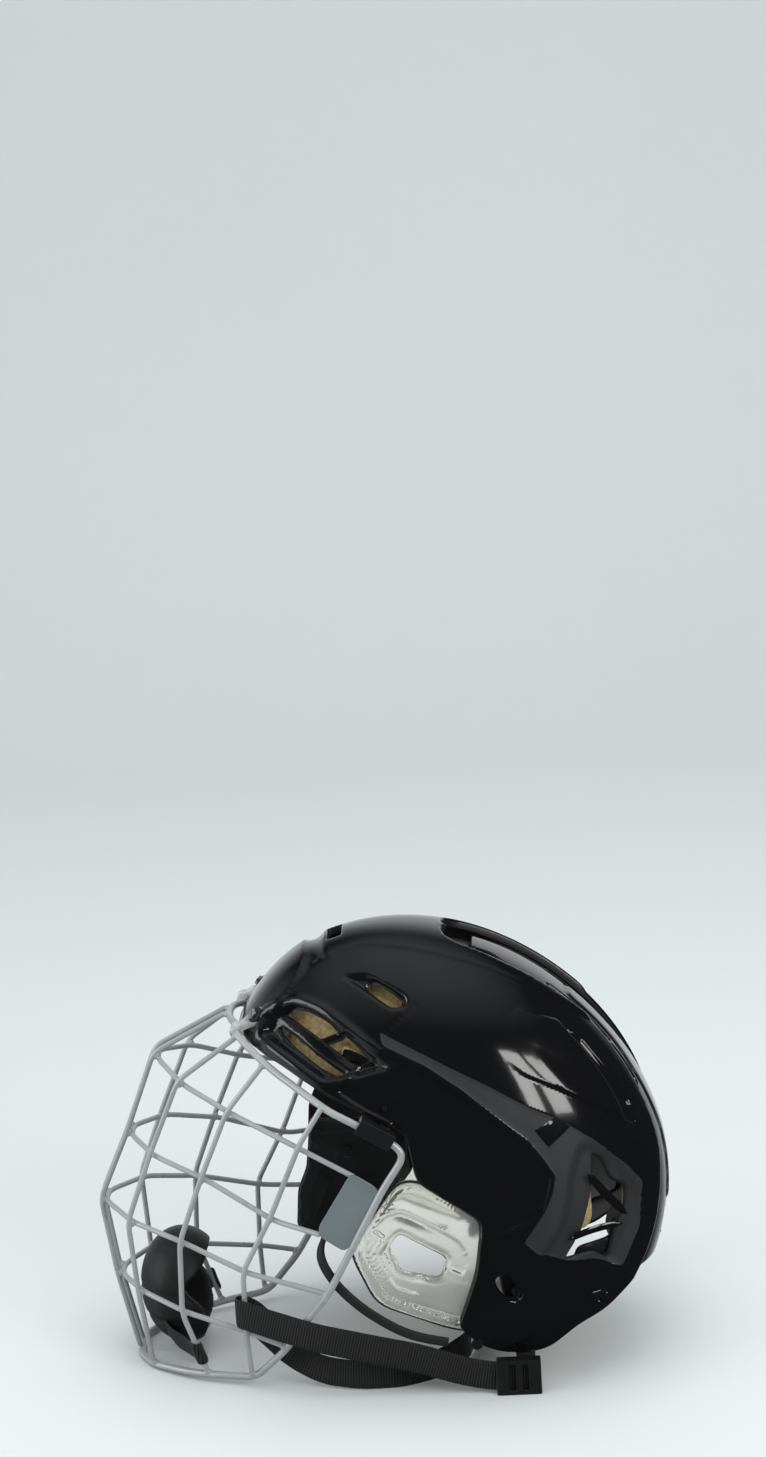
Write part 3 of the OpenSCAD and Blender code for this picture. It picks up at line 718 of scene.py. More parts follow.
def rear_shell():
    lines = [lambda v: rear_keep(v) - 1.2, lambda v: rear_keep(v) - 0.5]
    lines.append(drawn(BACK_PANEL, "xz"))
    pts, faces, count = walled(sphere_grid(104), rear_keep, rear_outer, lambda v: surface(v, 7.6), lines,
                                sphere_grid(40))
    mats = np.zeros(len(faces), int)
    mats[count:] = 1
    obj = add_piece("rear_shell_skin", pts, faces, [GLOSS, INNER], mats, 66)
    place(obj, "rear", "shell_gloss", "rear_shell")
    tongue = rounded([(-14, 320), (14, 320), (14, 240), (-14, 240)], 3)

    def tongue_keep(v):
        p = surface(v)
        return np.minimum(drawn(tongue, "xz")(v), np.minimum(p[:, 1] - 30, 66 - p[:, 1]))

    pts, faces, _ = walled(sphere_grid(80), tongue_keep, lambda v: surface(v, 9.6),
                           lambda v: surface(v, 12.4))
    piece("rear_shell_tongue", pts, faces, PLASTIC, 40, "rear", "shell_gloss")
    wing = rounded([
        (72, 78), (74, 60), (86, 48), (104, 44), (128, 52), (150, 64), (160, 72), (160, 104), (149, 104),
        (149, 92), (126, 90), (122, 78), (112, 76), (90, 82)], 4)

    def wing_keep(v):
        return np.minimum(drawn(wing, "yz")(v), np.abs(surface(v)[:, 0]) - 45)

    def wing_outer(v):
        return surface(v, 8.4) - outward(surface(v)) * lip(wing_keep(v), 1)[:, None]

    pts, faces, _ = walled(sphere_grid(70), wing_keep, wing_outer, lambda v: surface(v, 11.2))
    piece("rear_shell_wings", pts, faces, PLASTIC, 40, "rear", "plastic_black")


def wall_pad(name, body, slot, mat, field, d0, d1, nodes, groove=None, dents=False):
    """A foam pad between two depths of the shell, crowned and grooved on the head's side."""
    def outer(v):
        p = surface(v)
        n = outward(p)
        notch = np.where(p[:, 2] > 200, over_surface(p, n, NOTCH, "xy"), -FAR)
        bed = np.maximum.reduce([VENT_BED(p, n), CROWN_BED(p, n), notch])
        dent = 8.0 * ease((bed + 4) / 4) if dents else 0
        return surface(v, d0) - n * (lip(field(v), 2.2) + dent)[:, None]

    def inner(v):
        p = surface(v)
        sink = lip(field(v), 5.5)
        if groove is not None:
            sink = sink + groove(p)
        return surface(v, d1) + outward(p) * np.minimum(sink, d1 - d0 - 4.6)[:, None]

    pts, faces, _ = walled(sphere_grid(64), field, outer, inner,
                           [lambda v: field(v) - 1.6, lambda v: field(v) - 4.5])
    obj = piece(name, pts, faces, mat, 60, body, slot, *nodes)
    return obj


def liners():
    brow = rounded([
        (-140, 232), (-95, 230), (-60, 219), (-27, 202), (18, 191), (20, 196), (20, 330), (-140, 330)], 4)
    side = rounded([
        (20, 186), (45, 196), (100, 184), (128, 160), (139, 140), (140, 108), (136, 100), (119, 100),
        (112, 104), (96, 110), (62, 128), (24, 152)], 7)
    back = rounded([
        (-5, 285), (22, 285), (27, 262), (30, 240), (38, 212), (44, 190), (48, 170), (52, 145), (56, 119),
        (58, 98), (-5, 98)], 4)
    neck = rounded([(-5, 72), (40, 72), (46, 66), (46, 52), (36, 42), (-5, 42)], 6)

    channel = patch([(66, -25, 232), (73, -11, 228), (83, 3, 217), (82, -13, 211), (73, -29, 221)], 3)

    def brow_field(v):
        p = surface(v)
        n = outward(p)
        return np.minimum(over_surface(p, n, brow, "yz"), -channel(p, n))

    def side_field(v):
        return np.minimum(drawn(side, "yz")(v), np.abs(surface(v, 24)[:, 0]) - 63)

    def back_field(v):
        return np.minimum(drawn(back, "xz")(v), surface(v)[:, 1] - 66.5)

    def neck_field(v):
        return np.minimum(drawn(neck, "xz")(v), surface(v)[:, 1] - 90)

    def ribs(p):
        return 2.4 * bell(np.abs(p[:, 0]) - 26, 2.2) + 2.4 * bell(p[:, 2] - 232, 2.2)

    def rows(p):
        return 2.2 * sum(bell(p[:, 2] - z, 2.0) for z in (130, 165, 200, 235))

    wall_pad("front_foam", "helmet", "liner_tan", TAN, brow_field, 4.2, 15, ["front_liner"], groove=ribs,
             dents=True)
    for sign, name in ((1, "l"), (-1, "r")):
        def one(v, sign=sign):
            return np.minimum(side_field(v), surface(v)[:, 0] * sign)
        wall_pad(f"side_foam_{name}", "helmet", "liner_tan", TAN, one, 12.5, 24,
                 [f"side_liner_{name}"], groove=rows)
    wall_pad("rear_foam", "rear", "liner_tan", TAN, back_field, 13, 24, ["rear_liner"], groove=rows)
    wall_pad("neck_pad", "rear", "pad_black", PAD, neck_field, 12.6, 26, ["occipital_pad"])


# ---------- ear guards ----------
GUARD_EDGE = rounded([
    (7, 143), (20, 145), (64, 122), (66, 112), (60, 60), (50, 42), (38, 44), (-9, 64), (-23, 97),
    (-20, 106)], 9)
EAR_HOLE = rounded([(8, 112), (36, 96), (31, 80), (7, 88), (1, 103)], 3.5)


def guard_point(v, inset, height):
    """Point of the ear guard over (y, z), swung in at the front under the cage wire."""
    y, z = v[:, 1], v[:, 2]
    x = side_x(y, z, inset) + height
    a = math.radians(-4.2)
    dx, dy = x - 98, y - 60
    turned = [98 + dx * math.cos(a) - dy * math.sin(a), 60 + dx * math.sin(a) + dy * math.cos(a), z]
    return np.stack(turned, 1)


def ear_guards():
    def keep(v):
        return np.minimum(inside(v[:, 1:], GUARD_EDGE)[0], -inside(v[:, 1:], EAR_HOLE)[0])

    def relief(v):
        edge = inside(v[:, 1:], GUARD_EDGE, 60)[0]
        hole = -inside(v[:, 1:], EAR_HOLE, 60)[0]
        h = 1.5 * bell(edge - 2.2, 1.8) + 1.1 * bell(hole - 1.6, 1.4)
        low = ease((112 - v[:, 2] - 0.55 * v[:, 1]) / 12)
        h -= 2.6 * ease((edge - 5) / 2) * low
        steps = sum(ease((edge - at) / 1.2) for at in (8.5, 12, 15.5)) * 1.15
        h += steps * low * ease((30 - v[:, 1]) / 18)
        h += 1.2 * ease((14 - hole) / 1.5) * (1 - 0.5 * low)
        return h - lip(keep(v), 1.3)

    wall, wall_faces, _ = walled(
        plane_grid((-26, 40), (68, 156), 1.1), keep, lambda v: guard_point(v, 4.4, relief(v)),
        lambda v: guard_point(v, 7.0, np.minimum(relief(v), 0.3)),
        [lambda v: keep(v) - 1.3, lambda v: keep(v) - 0.5])
    for side, flip in SIDES:
        pts, faces = wall, wall_faces
        if flip:
            pts, faces = mirrored(pts), faces[:, ::-1]
        obj = add_piece(f"ear_guard_shell_{side}", pts, faces, [GUARD], None, 50)
        place(obj, "helmet", "guard_clear", f"ear_guard_{side}")
        ring = np.stack([np.zeros(len(GUARD_EDGE)), GUARD_EDGE[:, 0], GUARD_EDGE[:, 1]], 1)
        path = guard_point(ring, 4.6, 0.0)
        pts, faces = tube(path if not flip else mirrored(path), 0.75, 8, closed=True)
        piece(f"ear_guard_gasket_{side}", pts, faces, RUBBER, 40, "helmet", "rubber_black")


# ---------- sweeps ----------
def bend(points, r=7.0, steps=7):
    """An open path with its corners rounded."""
    p = np.array(points, float)
    out = [p[0]]
    for i in range(1, len(p) - 1):
        out += corner(p[i - 1], p[i], p[i + 1], r, steps)
    out.append(p[-1])
    keep = [0] + [i for i in range(1, len(out)) if np.linalg.norm(out[i] - out[i - 1]) > 1e-3]
    return np.array([out[i] for i in keep])


def frames(path, closed=False):
    """Tangent and two normals carried along a path without twist."""
    if closed:
        t = np.roll(path, -1, 0) - np.roll(path, 1, 0)
    else:
        t = np.gradient(path, axis=0)
    t /= np.linalg.norm(t, axis=1)[:, None]
    ref = np.array([0, 0, 1.0]) if abs(t[0, 2]) < 0.8 else np.array([1.0, 0, 0])
    us = []
    for d in t:
        ref = ref - (ref @ d) * d
        ref = ref / np.linalg.norm(ref)
        us.append(ref)
    us = np.array(us)
    return t, us, np.cross(t, us)


def tube(path, r, sides=16, closed=False):
    """A round tube with domed ends."""
    path = np.asarray(path, float)
    t, u, w = frames(path, closed)
    radii = np.full(len(path), r)
    if not closed:
        dome = [0.35, 0.75, 0.95]
        first = np.array([path[0] - t[0] * r * s for s in (0.95, 0.66, 0.3)])
        last = np.array([path[-1] + t[-1] * r * s for s in (0.3, 0.66, 0.95)])
        path = np.concatenate([first, path, last])
        radii = np.concatenate([np.array(dome) * r, radii, np.array(dome[::-1]) * r])
        u = np.concatenate([[u[0]] * 3, u, [u[-1]] * 3])
        w = np.concatenate([[w[0]] * 3, w, [w[-1]] * 3])
    a = np.linspace(0, 2 * math.pi, sides, endpoint=False)
    ring = u[:, None] * np.cos(a)[None, :, None] + w[:, None] * np.sin(a)[None, :, None]
    ring = ring * radii[:, None, None]
    pts = (path[:, None] + ring).reshape(-1, 3)
    n = len(path)
    faces = []
    for i in range(n if closed else n - 1):
        for k in range(sides):
            b, m = (i + 1) % n, (k + 1) % sides
            faces.append((i * sides + k, i * sides + m, b * sides + m, b * sides + k))
    if not closed:
        faces += [tuple(range(sides - 1, -1, -1)), tuple(range((n - 1) * sides, n * sides))]
    return pts, faces


def ribbon(path, width, thick, ups, across=9):
    """A flat band with rounded edges and its UVs in metres. ups gives the way its width stands."""
    path = np.asarray(path, float)
    t, _, _ = frames(path)
    ups = np.broadcast_to(np.asarray(ups, float), path.shape)
    s = np.cross(t, ups)
    s /= np.linalg.norm(s, axis=1)[:, None]
    u = np.cross(s, t)
    section = [(q, 1) for q in np.linspace(-1, 1, across)] + [(q, -1) for q in np.linspace(1, -1, across)]
    pts, uv = [], []
    along = np.concatenate([[0], np.cumsum(np.linalg.norm(np.diff(path, axis=0), axis=1))])
    for i in range(len(path)):
        for q, side in section:
            past = max(0, abs(q) * width / 2 - (width / 2 - thick / 2))
            edge = math.sqrt(max(0.0, 1 - past ** 2 / (thick / 2) ** 2))
            pts.append(path[i] + u[i] * q * width / 2 + s[i] * (side * thick / 2 * max(edge, 0.25)))
            uv.append((along[i] * MM, q * width / 2 * MM))
    m = len(section)
    faces = []
    for i in range(len(path) - 1):
        for k in range(m):
            faces.append((i * m + k, (i + 1) * m + k, (i + 1) * m + (k + 1) % m, i * m + (k + 1) % m))
    faces += [tuple(range(m)), tuple(range(len(path) * m - 1, (len(path) - 1) * m - 1, -1))]
    return np.array(pts), faces, np.array(uv)


def with_uv(obj, uv):
    layer = obj.data.uv_layers.new(name="UVMap")
    loops = np.zeros(len(obj.data.loops), np.int32)
    obj.data.loops.foreach_get("vertex_index", loops)
    layer.data.foreach_set("uv", uv[loops].astype(np.float32).ravel())
    return obj


def dense(path, step=2.5):
    """The same path with points close together."""
    path = np.asarray(path, float)
    s = np.concatenate([[0], np.cumsum(np.linalg.norm(np.diff(path, axis=0), axis=1))])
    at = np.linspace(0, s[-1], max(2, int(s[-1] / step)))
    return np.stack([np.interp(at, s, path[:, i]) for i in range(3)], 1)


# ---------- cage ----------
HINGE_Y, HINGE_Z = -89.0, 226.0
FRAME_R, BAR_R = 2.3, 1.7
FRAME_HALF = [
    (0, -96, 228), (14, -94.5, 227.6), (24.5, -89, 226), (27.6, -89, 226), (38.5, -89, 226),
    (41.5, -89, 226), (50, -79, 217), (60, -66, 207), (88, -32, 189), (95, -18, 183.5), (95, 9, 167),
    (96.5, 13, 160), (98, -1, 140), (98, -21, 104), (94, -39, 71), (86, -52, 53), (77, -68, 29),
    (68, -89, 7), (58, -118, 5.4), (48, -137, 4.2), (33, -157, 3), (16, -167, 2.4), (0, -169.5, 2.3)]
UPRIGHTS = {
    "center_bars": [
        (6.5, -99.4, 228.4), (6.8, -146, 205), (7, -167, 152), (7, -187, 108), (7, -180, 56),
        (7, -169.2, 6)],
    "inner_bars": [
        (40.5, -91, 222.6), (41, -128, 197), (41, -149, 149), (43, -166, 105), (41, -163, 56),
        (34, -158, 6.6)],
    "middle_bars": [
        (56, -74, 208), (58, -97, 181), (59, -116, 138), (61, -132, 97), (59, -134, 48), (58, -121, 9)],
    "outer_bars": [
        (88, -36, 191), (88, -51, 168), (80, -72, 119), (77, -92, 82), (73, -93, 38), (69.5, -91.5, 10.4)],
}
CROSS_BARS = {
    "brow_bar": [
        (0, -143.5, 202), (10, -142.5, 201.5), (39, -125.5, 194), (56, -94.5, 179), (83, -50, 163),
        (95.2, -19, 149)],
    "eye_bar": [
        (0, -164, 151), (10, -163, 151), (38.5, -146.5, 147), (57, -113, 136.5), (78, -70.5, 115.5),
        (95.2, -42, 112)],
    "nose_bar": [
        (0, -183.6, 107), (10, -182.5, 107), (40.5, -163, 104), (58.5, -129.5, 95.5), (75.5, -89.5, 80.5),
        (92, -41, 71.5)],
    "jaw_bar": [
        (0, -176.8, 56), (10, -175.5, 56), (38.5, -160.5, 56), (56.5, -132, 48), (71, -91, 38.5),
        (77.6, -71, 32)],
}


def whole(half):
    """A half path and its mirror image as one path from right to left."""
    half = np.array(half, float)
    return np.concatenate([mirrored(half[:0:-1]), half])


def cage():
    ring = whole(FRAME_HALF)
    ring = bend(np.concatenate([ring, ring[:1]]), 7, 9)[1:-1]
    pts, faces = tube(ring, FRAME_R, 20, closed=True)
    piece("cage_edge_wire", pts, faces, SILVER, 60, "cage", "cage_silver", "cage_frame")
    wires = {"frame": [ring]}
    for name, half in UPRIGHTS.items():
        left = bend(half, 7, 9)
        wires[name] = [left, mirrored(left)]
        a, fa = tube(left, BAR_R, 16)
        b, fb = tube(mirrored(left), BAR_R, 16)
        faces = list(fa) + [tuple(i + len(a) for i in f) for f in fb]
        piece(f"{name}_wires", np.concatenate([a, b]), faces, SILVER, 60, "cage", "cage_silver", name)
    for name, half in CROSS_BARS.items():
        path = bend(whole(half), 8, 9)
        wires[name] = [path]
        pts, faces = tube(path, BAR_R, 16)
        piece(f"{name}_wire", pts, faces, SILVER, 60, "cage", "cage_silver", name)
    welds(wires)


def welds(wires):
    """A small smooth weld bead wherever two wires of the cage touch."""
    names = list(wires)
    points, faces = [], []
    ball = bmesh.new()
    bmesh.ops.create_icosphere(ball, subdivisions=2, radius=1.0)
    unit = np.array([v.co for v in ball.verts])
    ball_faces = [[v.index for v in f.verts] for f in ball.faces]
    ball.free()
    count = 0
    for i, a in enumerate(names):
        for b in names[i + 1:]:
            if a in UPRIGHTS and b in UPRIGHTS or a in CROSS_BARS and b in CROSS_BARS:
                continue
            for p in wires[a]:
                for q in wires[b]:
                    p2, q2 = dense(p, 1.2), dense(q, 1.2)
                    gap = np.linalg.norm(p2[:, None] - q2[None], axis=2)
                    reach = (FRAME_R if a == "frame" else BAR_R) + BAR_R + 1.2
                    while gap.min() < reach:
                        m, k = np.unravel_index(gap.argmin(), gap.shape)
                        mid = (p2[m] + q2[k]) / 2
                        along = p2[min(m + 1, len(p2) - 1)] - p2[max(m - 1, 0)]
                        along = along / np.linalg.norm(along)
                        bead = unit * 2.15
                        bead = bead + np.outer(bead @ along, along) * 0.35
                        points.append(bead + mid)
                        faces += [[x + count for x in f] for f in ball_faces]
                        count += len(unit)
                        near = np.linalg.norm(p2 - mid, axis=1) < 12
                        gap[near] = 1e9
    piece("cage_weld_beads", np.concatenate(points), faces, SILVER, 80, "cage", "cage_silver")


def slab(name, outline, x0, x1, mat, round_over):
    """A plate cut to a side outline, with softened edges."""
    n = len(outline)
    pts = [(x0, y, z) for y, z in outline] + [(x1, y, z) for y, z in outline]
    faces = [tuple(range(n - 1, -1, -1)), tuple(range(n, 2 * n))]
    faces += [(i, (i + 1) % n, (i + 1) % n + n, i + n) for i in range(n)]
    obj = add_piece(name, pts, faces, [mat])
    edge = obj.modifiers.new("edge", "BEVEL")
    edge.width = round_over * MM
    edge.segments = 3
    edge.limit_method = "ANGLE"
    edge.angle_limit = math.radians(50)
    return obj


def side_plates():
    outline = rounded([
        (-21, 150), (-18, 151), (-5, 142), (-3, 137), (-23, 104), (-27, 101), (-41, 111), (-42, 117)], 3.5)
    for side, s in (("l", 1), ("r", -1)):
        x = sorted((96.4 * s, 98.0 * s))
        sheet = slab(f"side_plate_sheet_{side}", outline, x[0], x[1], PLATE, 0.5)
        place(sheet, "cage", "plate_grey", f"side_plate_{side}")


# ---------- temple panels, straps, cup ----------
def temple_panels():
    outline = rounded([
        (-44, 182), (-30, 181), (-14, 181), (17.5, 178), (18, 146), (4, 128), (-14, 112), (-30, 104),
        (-36, 102), (-46, 106), (-56, 112), (-54, 136), (-48, 150), (-46, 166)], 3)

    def keep(v):
        return inside(v[:, 1:], outline)[0]

    def relief(v):
        k = inside(v[:, 1:], outline, 40)[0]
        h = 0.9 * bell(k - 1.6, 1.0) - lip(k, 0.8)
        fold = line_distance(v[:, 1:], (-44, 118), (-26, 160))
        return h - 0.7 * ease((k - 8) / 1.2) + 0.6 * bell(fold, 1.1)

    pts, faces, _ = walled(plane_grid((-58, 100), (20, 184), 1.0), keep,
                           lambda v: np.stack([80.3 + relief(v), v[:, 1], v[:, 2]], 1),
                           lambda v: np.stack([np.full(len(v), 77.5), v[:, 1], v[:, 2]], 1))
    for side, flip in SIDES:
        if flip:
            pts, faces = mirrored(pts), faces[:, ::-1]
        piece(f"temple_plate_{side}", pts, faces, PLASTIC, 40, "helmet", "plastic_black",
              f"temple_panel_{side}")


def loops_and_straps():
    loop = bend([
        (81, -38, 108), (86, -44, 94), (90, -34, 76), (92, -18, 60), (92, 0, 47), (92, 14, 40),
        (91, 34, 35)], 10, 7)
    for side, flip in SIDES:
        path = dense(mirrored(loop) if flip else loop, 2.0)
        up = np.array([-0.1 if flip else 0.1, 0.5, 1.0])
        pts, faces, _ = ribbon(path, 6.2, 2.8, up, 7)
        piece(f"ear_band_{side}", pts, faces, RUBBER, 50, "helmet", "rubber_black", f"ear_loop_{side}")
    strap = [
        (93, 86, 11.5), (93, 66, 11.5), (92.5, 50, 14), (92, 36, 18), (92, 14, 26), (92, -10, 32),
        (91, -46, 41), (87, -62, 45), (83, -80, 50), (79.5, -91, 53), (77, -97, 54), (73.5, -98.5, 54),
        (69.5, -96.5, 53.5), (67, -90, 50), (66, -80, 38), (69, -64, 21), (75, -46, 12.5),
        (80, -22, 10.4), (79, 4, 10.2), (68, 27, 10.2), (42, 46, 10.4), (0, 54, 10.8), (-50, 58, 11.2),
        (-80, 62, 11.5), (-93, 71, 11.5), (-93, 86, 11.5)]
    path = dense(bend(strap, 9, 6), 2.0)
    pts, faces, uv = ribbon(path, 19, 1.5, (0, 0, 1), 11)
    obj = with_uv(add_piece("chin_webbing", pts, faces, [WEB], None, 50), uv)
    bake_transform(obj)
    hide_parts("chin_strap")
    hook = bend([
        (27, -148, 25), (38, -142, 22.5), (50, -132, 21.5), (56.5, -128.4, 21.3), (60.2, -127.8, 21.2),
        (61.6, -125, 21), (60.2, -122.2, 21), (57, -122.2, 21)], 3, 5)
    for side, flip in SIDES:
        path = dense(mirrored(hook) if flip else hook, 1.5)
        pts, faces, uv = ribbon(path, 14, 1.6, (0, -0.32, 1), 9)
        strip = with_uv(add_piece(f"cup_tab_{side}", pts, faces, [WEB], None, 50), uv)
        place(strip, "cage", "webbing", *(["cup_hooks"] if side == "l" else []))
    for side, s in (("l", 1), ("r", -1)):
        anchor = np.array([
            (88.6, 82, 8), (88.6, 82, 14), (80.5, 82, 18.7), (80.1, 82, 23.8), (82.3, 82, 31.2),
            (84.7, 82, 38.2)])
        path = dense(bend(anchor * np.array([s, 1, 1]), 4, 6), 1.2)
        pts, faces, uv = ribbon(path, 12, 1.4, (0, 1, 0), 9)
        strip = with_uv(add_piece(f"anchor_strap_{side}", pts, faces, [WEB], None, 50), uv)
        place(strip, "helmet", "webbing", f"anchor_web_{side}")


CUP_AT = np.array([0.0, -137.5, 44.0])
CUP_TILT = math.radians(4)


def cup_shape(v, k, ridge=None):
    """The chin cup's bowl, taken in by k, and moved along its normals by ridge where one is given."""
    r = np.array([36.0, 28.5, 38.0]) - k
    p = v * r
    c, s = math.cos(CUP_TILT), math.sin(CUP_TILT)
    q = np.stack([p[:, 0], p[:, 1] * c - p[:, 2] * s, p[:, 1] * s + p[:, 2] * c], 1)
    n = v / r
    n /= np.linalg.norm(n, axis=1)[:, None]
    n = np.stack([n[:, 0], n[:, 1] * c - n[:, 2] * s, n[:, 1] * s + n[:, 2] * c], 1)
    return q + CUP_AT + (n * ridge(v)[:, None] if ridge else 0)


def chin_cup():
    rim = rounded([
        (-178, 2), (-129, 2), (-120, 22), (-124, 38), (-136, 54), (-122, 64), (-110, 90), (-178, 92)], 4)

    def keep_at(k):
        def keep(v):
            p = cup_shape(v, k)
            return inside(p[:, 1:], rim, 30)[0]
        return keep

    def outside(v):
        band = bell(v[:, 2] - 0.15, 0.06) + bell(v[:, 2] + 0.35, 0.06)
        return -0.9 * band - lip(keep_at(0)(v), 2.0)

    def vents(v):
        a = np.arctan2(v[:, 0], -v[:, 1])
        slot = np.minimum(np.abs(np.abs(a) - 0.38) * 30 - 3.2, 0)
        return np.where(np.abs(v[:, 2] + 0.1) < 0.16, slot, 0)

    grid = sphere_grid(56)
    shell_keep = keep_at(0)
    pts, faces, _ = walled(grid, shell_keep,
                           lambda v: cup_shape(v, 0, lambda w: outside(w) + 0.35 * vents(w)),
                           lambda v: cup_shape(v, 3), [lambda v: shell_keep(v) - 2.0])
    piece("chin_cup_shell", pts, faces, CUP, 50, "cage", "cup_black", "chin_cup")
    foam_keep = keep_at(3.3)
    pts, faces, _ = walled(sphere_grid(40), foam_keep, lambda v: cup_shape(v, 3.3),
                           lambda v: cup_shape(v, 9, lambda w: lip(foam_keep(w), 3.5)),
                           [lambda v: foam_keep(v) - 3.0])
    obj = piece("chin_cup_foam", pts, faces, PAD, 60, "cage", "pad_black", "chin_cup_liner")


def vent_blades():
    """The two leaf-shaped ribs that cross each rear vent."""
    for side, flip in (("l", 1), ("r", -1)):
        pts, faces = [], []
        for a, b, half in (((90, 126, 141), (80, 149, 110), 2.7), ((97, 112, 101.5), (81, 146, 104.5), 2.4)):
            a, b = np.array(a, float), np.array(b, float)
            along = (b - a) / np.linalg.norm(b - a)
            n = outward(((a + b) / 2)[None])[0]
            w = np.cross(n, along)
            count = 16
            start = len(pts)
            for i in range(count + 1):
                t = i / count
                wide = half * (1 - abs(2 * t - 1) ** 5) ** 0.5 + 0.05
                mid = a + (b - a) * t - n * (3.4 + 3.0 * (1 - (2 * t - 1) ** 2) - 3.0)
                for q, h in ((-1, 0.0), (-0.5, 1.1), (0.5, 1.1), (1, 0.0), (0.5, -1.1), (-0.5, -1.1)):
                    pts.append(mid + w * wide * q + n * h)
            for i in range(count):
                for k in range(6):
                    m = (k + 1) % 6
                    low, up = start + i * 6, start + (i + 1) * 6
                    faces.append((low + k, low + m, up + m, up + k))
            faces.append(tuple(start + k for k in range(5, -1, -1)))
            faces.append(tuple(start + count * 6 + k for k in range(6)))
        pts = np.array(pts) * np.array([flip, 1, 1])
        if flip < 0:
            faces = [f[::-1] for f in faces]
        piece(f"vent_blades_{side}", pts, faces, GLOSS, 60, "helmet", "shell_gloss")


# ---------- parts that keep their CAD shape ----------
def keep_cad(node, mat, width=0.35, segments=2):
    """A CAD node keeps its shape and gets softened edges and a finished material."""
    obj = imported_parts[node]
    obj.data.materials.clear()
    obj.data.materials.append(mat)
    weld = obj.modifiers.new("weld", "WELD")
    weld.merge_threshold = 0.00002
    edge = obj.modifiers.new("edge", "BEVEL")
    edge.width = width * MM
    edge.segments = segments
    edge.limit_method = "ANGLE"
    edge.angle_limit = math.radians(40)
    edge.harden_normals = False
    obj.data.polygons.foreach_set("use_smooth", [True] * len(obj.data.polygons))
    even = obj.modifiers.new("even", "WEIGHTED_NORMAL")
    even.keep_sharp = True


def cad_parts():
    for side in "lr":
        keep_cad(f"top_clip_{side}", CLIP, 0.4, 3)
        keep_cad(f"side_clip_{side}", PLASTIC, 0.6, 3)
        keep_cad(f"buckle_{side}", PLASTIC, 0.8, 3)
        keep_cad(f"size_screw_{side}", BLACKED, 0.25)
    keep_cad("top_screws", STEEL, 0.3, 3)
    keep_cad("top_washers", RUBBER, 0.35, 3)
    keep_cad("temple_rivets", SHINY, 0.7, 4)
    keep_cad("side_clip_screws", BLACKED, 0.4, 3)
    keep_cad("anchor_snaps", BLACKED, 0.5, 3)
    keep_cad("lock_track", PLASTIC, 0.5, 3)
    keep_cad("lock_slider", PLASTIC, 0.4, 3)


# ---------- studio ----------
def aim(obj, at, up=(0, 0, 1)):
    back = (Vector(obj.location) - Vector(at)).normalized()
    right = Vector(up).cross(back).normalized()
    turn = Matrix((right, back.cross(right), back)).transposed().to_4x4()
    obj.matrix_world = Matrix.Translation(obj.location) @ turn


def camera():
    data = bpy.data.cameras.new("camera")
    data.lens = 72.07
    data.sensor_width = 36
    obj = linked("camera", data)
    bpy.context.scene.camera = obj
    forward = Vector((-0.97653, -0.02871, -0.21356))
    obj.location = (1.7837, 0.0651 + HOME[1] * MM, 0.7981)
    aim(obj, Vector(obj.location) + forward, (-0.21477, 0.05087, 0.97531))


def area_light(name, at, to, size, power, colour=(1, 1, 1)):
    data = bpy.data.lights.new(name, "AREA")
    data.shape = "RECTANGLE"
    data.size, data.size_y = size
    data.energy = power
    data.color = colour
    obj = linked(name, data)
    obj.location = at
    aim(obj, to)
    return obj


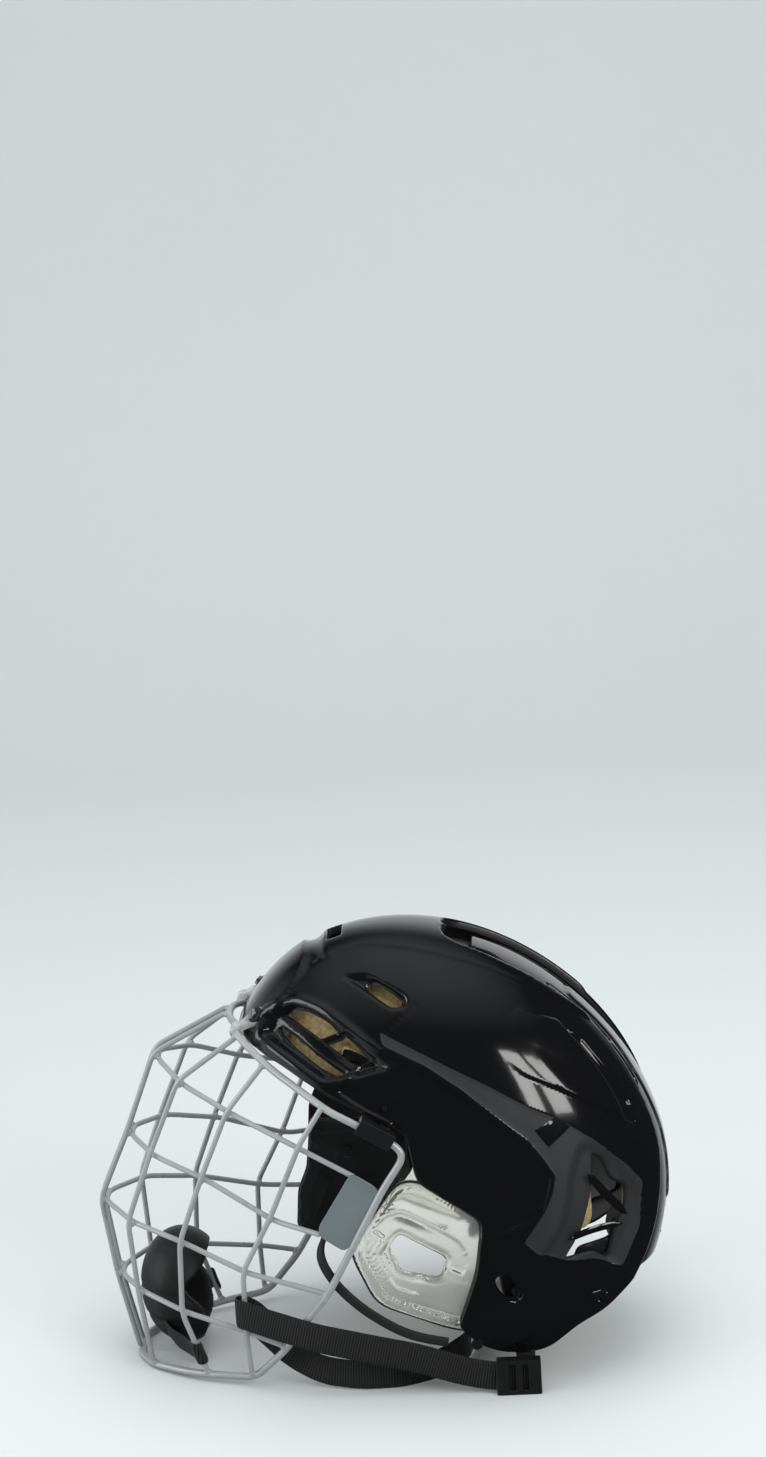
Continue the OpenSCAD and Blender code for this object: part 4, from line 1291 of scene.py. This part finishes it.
def studio():
    mat, tree, bsdf = new_material("floor_pale", (0.8, 0.83, 0.835), 0.6)
    slow = texture(tree, "noise", 1.5, 2)
    tinted(tree, bsdf, slow, (0.79, 0.82, 0.825), (0.81, 0.84, 0.845))
    sweep = np.linspace(0.1, math.pi / 2, 14)
    profile = [(4.0, 0.0), (-1.6, 0.0)]
    profile += [(-1.6 - 1.2 * math.sin(a), 1.2 - 1.2 * math.cos(a)) for a in sweep]
    profile.append((-2.8, 5.0))
    verts = [(x, y, z) for x, z in profile for y in (-5.0, 5.0)]
    faces = [(2 * i, 2 * i + 1, 2 * i + 3, 2 * i + 2) for i in range(len(profile) - 1)]
    mesh = bpy.data.meshes.new("backdrop")
    mesh.from_pydata(verts, [], faces)
    mesh.materials.append(mat)
    mesh.polygons.foreach_set("use_smooth", [True] * len(mesh.polygons))
    obj = linked("backdrop", mesh)
    obj.visible_glossy = False
    world = bpy.data.worlds.new("studio")
    world.use_nodes = True
    back = world.node_tree.nodes["Background"]
    back.inputs["Color"].default_value = (0.93, 0.97, 0.98, 1)
    tree = world.node_tree
    ray = tree.nodes.new("ShaderNodeLightPath")
    way = tree.nodes.new("ShaderNodeTexCoord")
    cut = tree.nodes.new("ShaderNodeSeparateXYZ")
    tree.links.new(way.outputs["Generated"], cut.inputs["Vector"])
    sides = [ranged(tree, cut.outputs["Z"], 0.02, 0.5, 0.72, 1.0),
             ranged(tree, cut.outputs["X"], 0, 0.8, -0.6, -0.97),
             ranged(tree, cut.outputs["Y"], 0, 0.65, -0.6, -0.95)]
    total = sides[0]
    for side in sides[1:]:
        total = maths(tree, "ADD", total, side)
    both = tree.nodes.new("ShaderNodeMix")
    tree.links.new(ray.outputs["Is Glossy Ray"], both.inputs["Factor"])
    both.inputs["A"].default_value = 0.69
    tree.links.new(total, both.inputs["B"])
    tree.links.new(both.outputs["Result"], back.inputs["Strength"])
    bpy.context.scene.world = world
    middle = (0, 0, 0.14)
    area_light("overhead", (0.1, 0.1, 1.9), middle, (1.6, 1.2), 14).visible_glossy = False
    area_light("window_near", (1.4, 1.62, 1.25), middle, (0.44, 0.95), 9, (1, 1, 0.98))
    area_light("window_far", (1.72, 1.24, 1.25), middle, (0.28, 0.95), 6, (1, 1, 0.98))
    area_light("front_fill", (0.6, -2.0, 0.9), middle, (1.2, 1.0), 9)
    bpy.context.scene.view_settings.view_transform = "Standard"


camera()
studio()
front_shell()
rear_shell()
liners()
ear_guards()
cage()
side_plates()
temple_panels()
loops_and_straps()
chin_cup()
vent_blades()
cad_parts()
